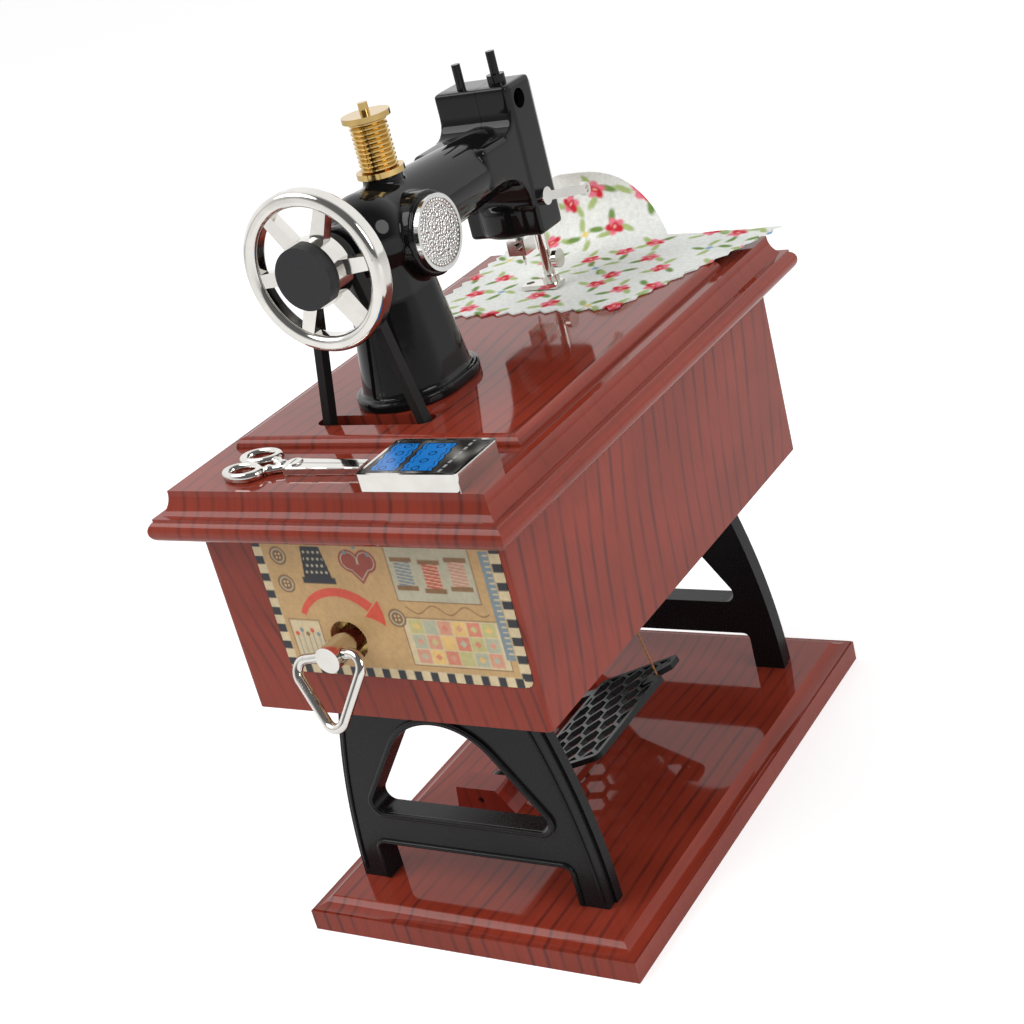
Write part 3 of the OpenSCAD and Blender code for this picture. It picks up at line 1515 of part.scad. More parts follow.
// Cloth under the presser foot: flat on the panel, curled up behind the head, with a pinked edge
cloth_out = 21;
cloth_front = face_x + cloth_out;
cloth_side = -36;
cloth_width = 64;
cloth_flare = 24;
cloth_length = 54;
cloth_flat = 42;
curl_length = 18;
curl_r = 13;
curl_middle = 0.32;
curl_spread = 0.34;
curl_least = 0.01;
pink_d = 1.5;
cloth_nu = 16;
cloth_nv = 24;
function curl_at(v) = max(curl_least, 1 - pow((v - curl_middle) / curl_spread, 2));
function cloth_along(u, v) = u * (cloth_length + curl_length * curl_at(v))
    - (u == 0 ? pink_d * (round(v * cloth_nv) % 2) : 0);
function cloth_point(u, v, h) = let(w = curl_at(v), s = cloth_along(u, v), d = max(0, s - cloth_flat),
    r = curl_r / w, turn = d / r * 180 / PI, x = min(s, cloth_flat) + r * sin(turn), z = r * (1 - cos(turn)))
    [cloth_front - x + h * sin(turn), cloth_side + v * (cloth_width + cloth_flare * u),
        panel_z + z + h * cos(turn)];
module cloth() {
    n = cloth_nu + 1;
    m = cloth_nv + 1;
    low = [for (i = [0 : cloth_nu], j = [0 : cloth_nv]) cloth_point(i / cloth_nu, j / cloth_nv, 0)];
    high = [for (i = [0 : cloth_nu], j = [0 : cloth_nv])
        cloth_point(i / cloth_nu, j / cloth_nv, cloth_t)];
    k = n * m;
    rim = concat([for (j = [0 : cloth_nv - 1]) [j, j + 1]],
        [for (i = [0 : cloth_nu - 1]) [i * m + cloth_nv, (i + 1) * m + cloth_nv]],
        [for (j = [cloth_nv : -1 : 1]) [cloth_nu * m + j, cloth_nu * m + j - 1]],
        [for (i = [cloth_nu : -1 : 1]) [i * m, (i - 1) * m]]);
    color(linen) polyhedron(concat(low, high), concat(
        [for (i = [0 : cloth_nu - 1], j = [0 : cloth_nv - 1]) let(a = i * m + j)
            each [[a, a + m, a + m + 1], [a, a + m + 1, a + 1]]],
        [for (i = [0 : cloth_nu - 1], j = [0 : cloth_nv - 1]) let(a = k + i * m + j)
            each [[a, a + m + 1, a + m], [a, a + 1, a + m + 1]]],
        [for (e = rim) each [[e[0], e[1], k + e[1]], [e[0], k + e[1], k + e[0]]]]));
}

base_board();
leg_key_end();
leg_needle_end();
base_screws();
leg_screws();
cabinet();
table_top();
table_screws();
end_label();
pivot_blocks();
pedal_pin();
pedal();
pull_thread();
machine_front_half();
machine_back_half();
machine_screws();
foot_screws();
face_plate();
thin_peg();
collar_peg();
spool();
spool_pin();
cover_disc();
presser_bar();
presser_foot();
presser_knob();
presser_lever();
needle_bar();
needle_clamp();
clamp_screw();
needle();
shaft_bushes();
upper_shaft();
crank_disc();
handwheel();
hub_cap();
small_pulley();
drive_belt();
large_pulley();
drive_shaft();
drive_pinion();
thread_crank();
shaft_bracket();
front_plate();
rear_plate();
plate_pillars();
movement_screws();
spring_barrel();
mainspring();
spring_arbor();
key_stem();
key_ring();
music_cylinder();
music_comb();
comb_block();
comb_screws();
governor();
scissors();
pattern_box();
cloth();
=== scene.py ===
import math

import bpy
import numpy as np
from mathutils import Matrix, Vector


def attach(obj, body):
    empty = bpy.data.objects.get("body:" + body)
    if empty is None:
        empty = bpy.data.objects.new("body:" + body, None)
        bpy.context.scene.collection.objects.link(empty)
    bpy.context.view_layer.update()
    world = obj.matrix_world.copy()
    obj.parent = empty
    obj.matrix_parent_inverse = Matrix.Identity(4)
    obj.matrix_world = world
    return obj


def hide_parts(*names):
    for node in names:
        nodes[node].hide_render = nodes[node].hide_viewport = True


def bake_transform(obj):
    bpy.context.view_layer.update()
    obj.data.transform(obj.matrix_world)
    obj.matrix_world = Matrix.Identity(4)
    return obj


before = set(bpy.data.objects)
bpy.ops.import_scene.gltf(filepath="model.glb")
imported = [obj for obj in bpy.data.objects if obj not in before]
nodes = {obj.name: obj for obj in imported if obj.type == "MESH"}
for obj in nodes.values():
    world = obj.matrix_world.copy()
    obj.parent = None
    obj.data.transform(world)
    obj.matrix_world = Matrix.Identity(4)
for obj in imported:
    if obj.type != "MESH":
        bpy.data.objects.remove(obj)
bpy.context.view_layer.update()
scene = bpy.context.scene

# ---- Studio
# A white paper sweep, a soft white room that is dim behind the camera, and two large soft lamps.
# The camera stands where the photographer stood: high, on the key end, tilted a little.
scene.view_settings.view_transform = "Standard"


def add(tree, kind, values=None, **settings):
    """A shader node with its settings and its inputs: a socket is linked, anything else is set."""
    made = tree.nodes.new("ShaderNode" + kind)
    for name, value in settings.items():
        setattr(made, name, value)
    for name, value in (values or {}).items():
        if isinstance(value, bpy.types.NodeSocket):
            tree.links.new(value, made.inputs[name])
        else:
            made.inputs[name].default_value = value
    return made


def seen_directly(tree):
    """1 for rays from the camera, from polished metal and through glass."""
    path = add(tree, "LightPath").outputs
    first = add(tree, "Math", {0: path["Is Camera Ray"], 1: path["Is Glossy Ray"]}, operation="MAXIMUM")
    either = add(tree, "Math", {0: first.outputs[0], 1: path["Is Transmission Ray"]}, operation="MAXIMUM")
    return either.outputs[0]


# White for the camera, even light for plain surfaces, bright to dim walls for what gloss mirrors
WHITE = (1, 1, 1, 1)
ROOM_LIGHT = 0.62
DIM_SIDE = (0.74, 0.54, 0.39)
DIMS_FROM, DIMS_TO = -0.15, 0.65
BRIGHT_WALL, DIM_WALL = 1.1, 0.14
world = bpy.data.worlds.new("room")
scene.world = world
world.use_nodes = True
tree = world.node_tree
tree.nodes.clear()
way = add(tree, "TexCoord").outputs["Generated"]
toward = add(tree, "VectorMath", {0: way, 1: DIM_SIDE}, operation="DOT_PRODUCT").outputs["Value"]
walls = add(tree, "MapRange", {0: toward, 1: DIMS_FROM, 2: DIMS_TO, 3: BRIGHT_WALL, 4: DIM_WALL},
            interpolation_type="SMOOTHSTEP").outputs[0]
dim = add(tree, "Background", {"Color": WHITE, "Strength": ROOM_LIGHT})
mirrored = add(tree, "Background", {"Color": WHITE, "Strength": walls})
paper_white = add(tree, "Background", {"Color": WHITE, "Strength": 1.0})
path = add(tree, "LightPath").outputs
shiny = add(tree, "MixShader", {0: path["Is Glossy Ray"], 1: dim.outputs[0], 2: mirrored.outputs[0]})
clear = add(tree, "Math", {0: path["Is Camera Ray"], 1: path["Is Transmission Ray"]}, operation="MAXIMUM")
both = add(tree, "MixShader", {0: clear.outputs[0], 1: shiny.outputs[0], 2: paper_white.outputs[0]})
tree.links.new(both.outputs[0], add(tree, "OutputWorld").inputs["Surface"])

LAMPS_AIM = (0, 0, 0.1)


def lamp(name, place, size, power):
    """A round soft lamp that looks at the part."""
    data = bpy.data.lights.new(name, "AREA")
    data.shape = "DISK"
    data.size = size
    data.energy = power
    lit = bpy.data.objects.new(name, data)
    lit.location = place
    lit.rotation_euler = (Vector(LAMPS_AIM) - Vector(place)).to_track_quat("-Z", "Y").to_euler()
    scene.collection.objects.link(lit)


lamp("soft_box_left", (0.5, -0.5, 0.85), 0.72, 5.2)
lamp("soft_box_right", (0.15, 0.9, 0.6), 0.6, 4.0)

FLOOR_SIZE = 6
PAPER = (0.85, 0.85, 0.85, 1)
PAPER_GLOW, MIRRORED_GLOW = 0.45, 0.1
bpy.ops.object.select_all(action="DESELECT")
bpy.ops.mesh.primitive_plane_add(size=FLOOR_SIZE)
floor = bpy.context.object
floor.name = "floor"
paper = bpy.data.materials.new("white_paper")
paper.use_nodes = True
tree = paper.node_tree
tree.nodes.clear()
matt = add(tree, "BsdfDiffuse", {"Color": PAPER})
in_mirror = add(tree, "LightPath").outputs["Is Glossy Ray"]
strength = add(tree, "Math", {0: in_mirror, 1: MIRRORED_GLOW - PAPER_GLOW, 2: PAPER_GLOW},
               operation="MULTIPLY_ADD")
glow = add(tree, "Emission", {"Color": WHITE, "Strength": strength.outputs[0]})
lifted = add(tree, "AddShader", {0: matt.outputs[0], 1: glow.outputs[0]})
sheet = add(tree, "MixShader", {0: seen_directly(tree), 1: matt.outputs[0], 2: lifted.outputs[0]})
tree.links.new(sheet.outputs[0], add(tree, "OutputMaterial").inputs["Surface"])
floor.data.materials.append(paper)

CAMERA_AT = Vector((0.3695, 0.2618, 0.2838))
CAMERA_LOOK = Vector((-0.7445, -0.5388, -0.3943)).normalized()
CAMERA_UP = Vector((-0.4603, -0.0135, 0.8876)).normalized()
LENS, SENSOR = 64.96, 36
NEAREST = 0.01
right = CAMERA_LOOK.cross(CAMERA_UP).normalized()
upright = right.cross(CAMERA_LOOK)
eye = bpy.data.objects.new("camera", bpy.data.cameras.new("camera"))
eye.data.lens = LENS
eye.data.sensor_width = SENSOR
eye.data.clip_start = NEAREST
eye.matrix_world = Matrix((
    (right.x, upright.x, -CAMERA_LOOK.x, CAMERA_AT.x),
    (right.y, upright.y, -CAMERA_LOOK.y, CAMERA_AT.y),
    (right.z, upright.z, -CAMERA_LOOK.z, CAMERA_AT.z),
    (0, 0, 0, 1)))
scene.collection.objects.link(eye)
scene.camera = eye

# ---- Base board, cabinet and table top
# Hollow mouldings of hard red-brown plastic with a printed film of dark wood grain under clear gloss.
# The grain runs along the tops and upright on the sides. The CAD solids keep their shape.


def group(name, inputs, outputs):
    """An empty node group and its two end nodes; inputs are (name, kind, value), outputs (name, kind)."""
    made = bpy.data.node_groups.new(name, "ShaderNodeTree")
    for title, kind, value in inputs:
        socket = made.interface.new_socket(title, in_out="INPUT", socket_type="NodeSocket" + kind)
        socket.default_value = value
    for title, kind in outputs:
        made.interface.new_socket(title, in_out="OUTPUT", socket_type="NodeSocket" + kind)
    return made, made.nodes.new("NodeGroupInput"), made.nodes.new("NodeGroupOutput")


def place_group(tree, made, values):
    """A group placed in a material, with its inputs set or linked."""
    placed = tree.nodes.new("ShaderNodeGroup")
    placed.node_tree = made
    for name, value in values.items():
        if isinstance(value, bpy.types.NodeSocket):
            tree.links.new(value, placed.inputs[name])
        else:
            placed.inputs[name].default_value = value
    return placed


def calc(tree, operation, a, b=0.0, c=0.0):
    """The result of one sum."""
    return add(tree, "Math", {0: a, 1: b, 2: c}, operation=operation).outputs[0]


def blend_colour(tree, amount, low, high):
    """The colour low where amount is 0, high where it is 1."""
    return add(tree, "Mix", {0: amount, 6: low, 7: high}, data_type="RGBA").outputs[2]


def choose(tree, test, no, yes):
    """no where test is 0, yes where it is 1."""
    return add(tree, "Mix", {0: test, 2: no, 3: yes}, data_type="FLOAT").outputs[0]


def noise(tree, vector, scale, detail=2.0):
    """Soft random tones between 0 and 1."""
    return add(tree, "TexNoise", {"Vector": vector, "Scale": scale, "Detail": detail, "Roughness": 0.5}).outputs[0]


def ramp(tree, value, first, last, low, high, **settings):
    """low where the value is first, high where it is last, and between them in between."""
    return add(tree, "MapRange", {0: value, 1: first, 2: last, 3: low, 4: high}, **settings).outputs[0]


def finish(name):
    """A new material and its Principled shader."""
    made = bpy.data.materials.new(name)
    made.use_nodes = True
    return made, made.node_tree, made.node_tree.nodes["Principled BSDF"]


def set_shader(tree, shader, **values):
    """Sets or links the inputs of a shader; an underscore stands for a space."""
    for name, value in values.items():
        socket = shader.inputs[name.replace("_", " ")]
        if isinstance(value, bpy.types.NodeSocket):
            tree.links.new(value, socket)
        else:
            socket.default_value = value


def bump(tree, shader, height, strength, distance):
    """Small unevenness that only bends the light."""
    made = add(tree, "Bump", {"Strength": strength, "Distance": distance, "Height": height})
    tree.links.new(made.outputs[0], shader.inputs["Normal"])


def dress(material, *names):
    """Gives CAD solids, by the names of their nodes, a material."""
    for name in names:
        for held in nodes[name].material_slots:
            held.material = material


# The lines slant a little on the walls, wander, and fade on the mouldings of the long sides
FACES_IT, LEANS_TO_IT = 0.62, 0.12
WALL_FOOT, WALL_HEAD = 0.0709, 0.1221
BASE_TOP, TABLE_FOOT = 0.0084, 0.1222
LINE_WIDTH, LINE_SLANT = 0.42, 0.17
FINE_WANDER, BROAD_SWEEP = 0.004, 0.012
grain, ends, out = group(
    "printed_grain",
    [("Ground", "Color", (0.3, 0.04, 0.03, 1)), ("Line", "Color", (0.05, 0.01, 0.01, 1)),
     ("Spacing", "Float", 0.004)],
    [("Color", "Color"), ("Roughness", "Float"), ("Height", "Float")])
where = add(grain, "TexCoord")
at = add(grain, "SeparateXYZ", {0: where.outputs["Object"]}).outputs
normal = add(grain, "SeparateXYZ", {0: where.outputs["Normal"]}).outputs
facing = [calc(grain, "ABSOLUTE", normal[axis]) for axis in range(3)]
is_top = calc(grain, "GREATER_THAN", facing[2], FACES_IT)
is_end = calc(grain, "GREATER_THAN", facing[0], FACES_IT)
y_across = calc(grain, "MAXIMUM", is_top, is_end)
across = choose(grain, y_across, at[0], at[1])
along = calc(grain, "ADD", at[2], choose(grain, y_across, at[1], at[0]))
page = calc(grain, "MULTIPLY", y_across, 3.0)


def stretched(across_scale, along_scale):
    """The place on the film, drawn out along the grain."""
    return add(grain, "CombineXYZ", {0: calc(grain, "MULTIPLY", across, across_scale),
                                     1: calc(grain, "MULTIPLY", along, along_scale), 2: page}).outputs[0]


slow, arches, streak = stretched(34, 13), stretched(11, 16), stretched(1500, 60)
wander = calc(grain, "SUBTRACT", noise(grain, slow, 1.0), 0.5)
sweep = calc(grain, "SUBTRACT", noise(grain, arches, 1.0, 0.0), 0.5)
wall = add(grain, "Clamp", {0: at[2], 1: WALL_FOOT, 2: WALL_HEAD}).outputs[0]
bent = calc(grain, "MULTIPLY_ADD", wall, LINE_SLANT, across)
bent = calc(grain, "MULTIPLY_ADD", wander, FINE_WANDER, bent)
bent = calc(grain, "MULTIPLY_ADD", sweep, BROAD_SWEEP, bent)
half = calc(grain, "MULTIPLY", ends.outputs["Spacing"], choose(grain, y_across, 0.5, 0.36))
ridge = calc(grain, "DIVIDE", calc(grain, "PINGPONG", bent, half), half)
line = ramp(grain, ridge, 0.0, LINE_WIDTH, 1.0, 0.0, interpolation_type="SMOOTHSTEP")
fade = ramp(grain, noise(grain, slow, 3.1), 0.34, 0.62, 0.1, 0.64)
pores = ramp(grain, noise(grain, streak, 1.0, 3.0), 0.5, 0.8, 0.0, 0.25)
dark = calc(grain, "MAXIMUM", calc(grain, "MULTIPLY", line, fade), pores)
from_wall = calc(grain, "ABSOLUTE", calc(grain, "SUBTRACT", at[2], (BASE_TOP + TABLE_FOOT) / 2))
on_edge = calc(grain, "GREATER_THAN", from_wall, (TABLE_FOOT - BASE_TOP) / 2)
to_long_side = calc(grain, "GREATER_THAN", facing[1], LEANS_TO_IT)
showing = calc(grain, "MULTIPLY_ADD", calc(grain, "MULTIPLY", on_edge, to_long_side), -0.8, 1.0)
dark = calc(grain, "MULTIPLY", dark, showing)
cloud = ramp(grain, noise(grain, arches, 2.3), 0.3, 0.7, 0.85, 1.12)
lit = add(grain, "VectorMath", {0: ends.outputs["Ground"], "Scale": cloud}, operation="SCALE").outputs[0]
grain.links.new(blend_colour(grain, dark, lit, ends.outputs["Line"]), out.inputs["Color"])
rough = ramp(grain, noise(grain, where.outputs["Object"], 90.0, 3.0), 0.3, 0.7, 0.035, 0.09)
grain.links.new(rough, out.inputs["Roughness"])
grain.links.new(noise(grain, where.outputs["Object"], 45.0), out.inputs["Height"])


def grained(name, ground, line_colour, spacing):
    """Hard plastic with the printed grain under a clear gloss."""
    made, tree, shader = finish(name)
    look = place_group(tree, grain, {"Ground": ground, "Line": line_colour, "Spacing": spacing})
    set_shader(tree, shader, Base_Color=look.outputs["Color"], Roughness=look.outputs["Roughness"],
               Specular_IOR_Level=0.21, Coat_Weight=0.09, Coat_Roughness=0.03)
    bump(tree, shader, look.outputs["Height"], 0.05, 0.0004)
    return made


red_wood = grained("red_grained_plastic", (0.235, 0.032, 0.017, 1), (0.04, 0.012, 0.012, 1), 0.0062)
dress(red_wood, "base_board", "cabinet", "table_top")

# ---- Legs
# Two arched end frames of black injection moulded plastic with a bead round the arch,
# screwed to the base board from below and to the cabinet floor from inside.
moulded, ends, out = group(
    "moulded_plastic",
    [("Grain", "Float", 900.0), ("Low", "Float", 0.2), ("High", "Float", 0.35)],
    [("Roughness", "Float"), ("Height", "Float"), ("Dust", "Float")])
where = add(moulded, "TexCoord").outputs["Object"]
fine = noise(moulded, where, ends.outputs["Grain"], 2.0)
broad = noise(moulded, where, 55.0, 3.0)
mixed = calc(moulded, "MULTIPLY_ADD", fine, 0.35, calc(moulded, "MULTIPLY", broad, 0.65))
rough = ramp(moulded, mixed, 0.32, 0.68, ends.outputs["Low"], ends.outputs["High"])
moulded.links.new(rough, out.inputs["Roughness"])
moulded.links.new(mixed, out.inputs["Height"])
moulded.links.new(ramp(moulded, noise(moulded, where, 2600.0, 1.0), 0.74, 0.82, 0.0, 1.0), out.inputs["Dust"])
DUST = (0.35, 0.34, 0.33, 1)


def plastic(name, colour, low, high, grain_scale, depth, dust=0.06, coat=0.0):
    """Moulded plastic between two roughnesses, with a fine grain and a little dust."""
    made, tree, shader = finish(name)
    look = place_group(tree, moulded, {"Grain": grain_scale, "Low": low, "High": high})
    tinted = blend_colour(tree, calc(tree, "MULTIPLY", look.outputs["Dust"], dust), colour, DUST)
    set_shader(tree, shader, Base_Color=tinted, Roughness=look.outputs["Roughness"],
               Specular_IOR_Level=0.22, Coat_Weight=coat, Coat_Roughness=0.05)
    bump(tree, shader, look.outputs["Height"], depth, 0.0003)
    return made


leg_black = plastic("satin_black_legs", (0.007, 0.007, 0.008, 1), 0.2, 0.34, 1400.0, 0.07)
dress(leg_black, "leg_key_end", "leg_needle_end")
mm = 0.001
LEG_Y, LEG_FOOT_Z, LEG_FACE = -2.4, 8.4, 60.5
LEG_FOOT_HALF, LEG_TOP_HALF, LEG_HEIGHT, LEG_BOW = 38, 26, 62.5, 200
ARCH_TOP, ARCH_CORNER = (0, 33.6), (24, 25)
ARCH_RADIUS, CORNER_RADIUS = 18.8, 3.8
GAP_HALF, GAP_TOP, GAP_RADIUS = 30.2, 12.3, 2.8
ARCH_BEAD, GAP_BEAD, SIDE_BEAD = 0.85, 0.7, 0.5
BEAD_FOOT, BEAD_TOP, BEAD_INSET = 0.6, 62, 1.3


def tube(points, radius, closed):
    """A round bead of one thickness along points in millimetres."""
    bpy.ops.object.select_all(action="DESELECT")
    line = bpy.data.curves.new("bead", "CURVE")
    line.dimensions = "3D"
    line.bevel_depth = radius * mm
    line.bevel_resolution = 3
    line.use_fill_caps = True
    spline = line.splines.new("POLY")
    spline.points.add(len(points) - 1)
    for held, point in zip(spline.points, points):
        held.co = (point[0] * mm, point[1] * mm, point[2] * mm, 1)
    spline.use_cyclic_u = closed
    piece = bpy.data.objects.new("bead", line)
    scene.collection.objects.link(piece)
    piece.select_set(True)
    bpy.context.view_layer.objects.active = piece
    bpy.ops.object.convert(target="MESH")
    bpy.ops.object.shade_smooth()
    return bpy.context.object


def joined(pieces, name):
    """Several pieces as one."""
    bpy.ops.object.select_all(action="DESELECT")
    for piece in pieces:
        piece.select_set(True)
    bpy.context.view_layer.objects.active = pieces[0]
    bpy.ops.object.join()
    pieces[0].name = name
    return pieces[0]


def settle(piece, name, material, slot, body, *replaced):
    """Names a finished piece, gives it its material and puts it on its body."""
    piece.name = name
    piece.data.materials.clear()
    piece.data.materials.append(material)
    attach(piece, body)
    if replaced:
        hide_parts(*replaced)
    return piece


def arc(centre, radius, first, last, steps):
    """Points on a circle between two angles in degrees."""
    turns = [math.radians(first + (last - first) * i / steps) for i in range(steps + 1)]
    return [(centre[0] + radius * math.cos(t), centre[1] + radius * math.sin(t)) for t in turns]


fall = ARCH_CORNER[1] - ARCH_TOP[1]
lean = math.degrees(math.atan2(fall, ARCH_CORNER[0])
                    + math.acos((ARCH_RADIUS - CORNER_RADIUS) / math.hypot(ARCH_CORNER[0], fall)))
arch_line = (arc(ARCH_CORNER, CORNER_RADIUS, -90, lean, 10) + arc(ARCH_TOP, ARCH_RADIUS, lean, 180 - lean, 40)
             + arc((-ARCH_CORNER[0], ARCH_CORNER[1]), CORNER_RADIUS, 180 - lean, 270, 10))
gap_y, gap_z = GAP_HALF - GAP_RADIUS, GAP_TOP - GAP_RADIUS
gap_line = ([(GAP_HALF, BEAD_FOOT)] + arc((gap_y, gap_z), GAP_RADIUS, 0, 90, 8)
            + arc((-gap_y, gap_z), GAP_RADIUS, 90, 180, 8) + [(-GAP_HALF, BEAD_FOOT)])
taper = LEG_FOOT_HALF - LEG_TOP_HALF
bow = math.sqrt(LEG_BOW ** 2 - (taper ** 2 + LEG_HEIGHT ** 2) / 4) / math.hypot(taper, LEG_HEIGHT)
bow_centre = ((LEG_FOOT_HALF + LEG_TOP_HALF) / 2 - LEG_HEIGHT * bow, LEG_HEIGHT / 2 - taper * bow)
side_line = [p for p in arc(bow_centre, LEG_BOW - BEAD_INSET, -12, 24, 60) if BEAD_FOOT < p[1] < BEAD_TOP]
for end, name in ((1, "key_end_leg_beads"), (-1, "needle_end_leg_beads")):
    lines = [(arch_line, ARCH_BEAD, True), (gap_line, GAP_BEAD, False), (side_line, SIDE_BEAD, False),
             ([(-y, z) for y, z in side_line], SIDE_BEAD, False)]
    beads = [tube([(end * (LEG_FACE + 0.1), LEG_Y + y, LEG_FOOT_Z + z) for y, z in points], r, closed)
             for points, r, closed in lines]
    settle(joined(beads, name), name, leg_black, "leg_black", "stand")

# ---- Screws
# Cross-head screws that hold the mouldings together, most of them out of sight: zinc plated,
# and blackened in the two halves of the machine.
metal, ends, out = group(
    "worn_metal",
    [("Streak", "Float", 500.0), ("Low", "Float", 0.1), ("High", "Float", 0.25)],
    [("Roughness", "Float"), ("Shade", "Float")])
where = add(metal, "TexCoord").outputs["Object"]
brushed = add(metal, "Mapping", {0: where, 3: (0.12, 1.0, 1.0)}).outputs[0]
lines = noise(metal, brushed, ends.outputs["Streak"], 4.0)
metal.links.new(ramp(metal, lines, 0.3, 0.7, ends.outputs["Low"], ends.outputs["High"]), out.inputs["Roughness"])
metal.links.new(ramp(metal, noise(metal, where, 120.0, 3.0), 0.3, 0.7, 0.86, 1.0), out.inputs["Shade"])


def plated(name, colour, low, high, streak=500.0):
    """Bare or plated metal between two roughnesses, brushed in fine streaks."""
    made, tree, shader = finish(name)
    look = place_group(tree, metal, {"Streak": streak, "Low": low, "High": high})
    toned = add(tree, "VectorMath", {0: colour[:3], "Scale": look.outputs["Shade"]}, operation="SCALE").outputs[0]
    set_shader(tree, shader, Base_Color=toned, Metallic=1.0, Roughness=look.outputs["Roughness"])
    return made


zinc = plated("zinc_plated_screws", (0.55, 0.55, 0.56, 1), 0.25, 0.42)
dress(zinc, "base_screws", "leg_screws", "table_screws", "foot_screws", "movement_screws", "comb_screws")
dress(plated("blackened_screws", (0.02, 0.02, 0.021, 1), 0.2, 0.35), "machine_screws")

# ---- Label
# A printed paper label with a clear film, glued to the key end of the cabinet round the key hole.
# The print is a design of its own: block border, thimble, tape, spools, patches and a red winding arrow.
KEY = (-7.2, 92.6)


def start(kind, **settings):
    """Adds a primitive with nothing else selected and gives it back."""
    bpy.ops.object.select_all(action="DESELECT")
    getattr(bpy.ops.mesh, "primitive_" + kind + "_add")(**settings)
    return bpy.context.object


def applied(piece, kind, **settings):
    """Adds a modifier and applies it."""
    bpy.context.view_layer.objects.active = piece
    made = piece.modifiers.new(kind, kind)
    for name, value in settings.items():
        setattr(made, name, value)
    bpy.ops.object.modifier_apply(modifier=made.name)
    return piece


def lattice(across, along):
    """A flat grid and the places of its points, 0 to 1 each way."""
    piece = start("grid", x_subdivisions=across, y_subdivisions=along, size=1)
    places = np.empty(len(piece.data.vertices) * 3)
    piece.data.vertices.foreach_get("co", places)
    places = places.reshape(-1, 3)
    return piece, places[:, 0] + 0.5, places[:, 1] + 0.5


def shaped(piece, x, y, z, colours):
    """Puts the points of a grid where they belong, in millimetres, and prints its colours on it."""
    piece.data.vertices.foreach_set("co", (np.stack([x, y, z], axis=1) * mm).ravel())
    print_layer = piece.data.color_attributes.new("print", "FLOAT_COLOR", "POINT")
    print_layer.data.foreach_set("color", np.concatenate([colours, np.ones((len(x), 1))], axis=1).ravel())
    piece.data.update()


def ink(colours, distance, colour, soft=0.15):
    """Prints a colour where the distance to a shape is below 0."""
    amount = np.clip(0.5 - distance / soft, 0, 1)[:, None]
    colours[:] = colours * (1 - amount) + np.array(colour) * amount


def turned(x, y, centre, turn):
    """The points seen from a centre, with the page turned by degrees."""
    c, s = math.cos(math.radians(turn)), math.sin(math.radians(turn))
    return (x - centre[0]) * c + (y - centre[1]) * s, (y - centre[1]) * c - (x - centre[0]) * s


def to_dot(x, y, centre, radius):
    """Distance to a round dot."""
    return np.hypot(x - centre[0], y - centre[1]) - radius


def to_oval(x, y, centre, size, turn=0.0):
    """Rough distance to an oval of two half sizes."""
    u, v = turned(x, y, centre, turn)
    return (np.hypot(u / size[0], v / size[1]) - 1) * min(size)


def to_box(x, y, centre, size, turn=0.0):
    """Distance to a box of two half sizes."""
    u, v = turned(x, y, centre, turn)
    return np.maximum(np.abs(u) - size[0], np.abs(v) - size[1])


def to_stripes(run, pitch, half):
    """Distance to stripes of a half width that come back at every pitch."""
    return np.abs(run % pitch - pitch / 2) - half


def drop_points(piece, kept):
    """Removes the points of a grid that are not kept."""
    bpy.ops.object.select_all(action="DESELECT")
    piece.select_set(True)
    bpy.context.view_layer.objects.active = piece
    bpy.ops.object.mode_set(mode="EDIT")
    bpy.ops.mesh.select_mode(type="VERT")
    bpy.ops.mesh.select_all(action="DESELECT")
    bpy.ops.object.mode_set(mode="OBJECT")
    piece.data.vertices.foreach_set("select", ~kept)
    bpy.ops.object.mode_set(mode="EDIT")
    bpy.ops.mesh.delete(type="VERT")
    bpy.ops.object.mode_set(mode="OBJECT")


LABEL_X, LABEL_Y, LABEL_Z = 74.95, (-27.9, 42.1), (82.8, 121.8)
HALF_Y, HALF_Z, CORNER, LABEL_THICK = 35, 19.5, 2, 0.3
KEY_HOLE, BORDER, BLOCK_PITCH, BLOCK_HALF = 5.2, 2.7, 4.7, 1.1
PAPER_TAN, HEART_RED = (0.51, 0.325, 0.15), (0.3, 0.07, 0.05)
STITCH, CREAM, RED = (0.035, 0.035, 0.04), (0.62, 0.5, 0.31), (0.62, 0.09, 0.055)
SLATE, BROWN, CARD = (0.2, 0.25, 0.27), (0.24, 0.13, 0.06), (0.46, 0.42, 0.3)
SPOOLS = (((15, 111.5), SLATE), ((22.6, 111), (0.5, 0.1, 0.07)), ((30, 111.8), (0.5, 0.26, 0.2)))
PATCHES = ((0.62, 0.3, 0.2), (0.5, 0.45, 0.2), (0.72, 0.47, 0.17), (0.42, 0.42, 0.3), (0.6, 0.22, 0.14))
label, v, w = lattice(280, 156)
y = LABEL_Y[0] + v * (LABEL_Y[1] - LABEL_Y[0])
z = LABEL_Z[0] + w * (LABEL_Z[1] - LABEL_Z[0])
prints = np.tile(PAPER_TAN, (len(y), 1)).astype(float)
middle = (sum(LABEL_Y) / 2, sum(LABEL_Z) / 2)
off_y, off_z = np.abs(y - middle[0]), np.abs(z - middle[1])

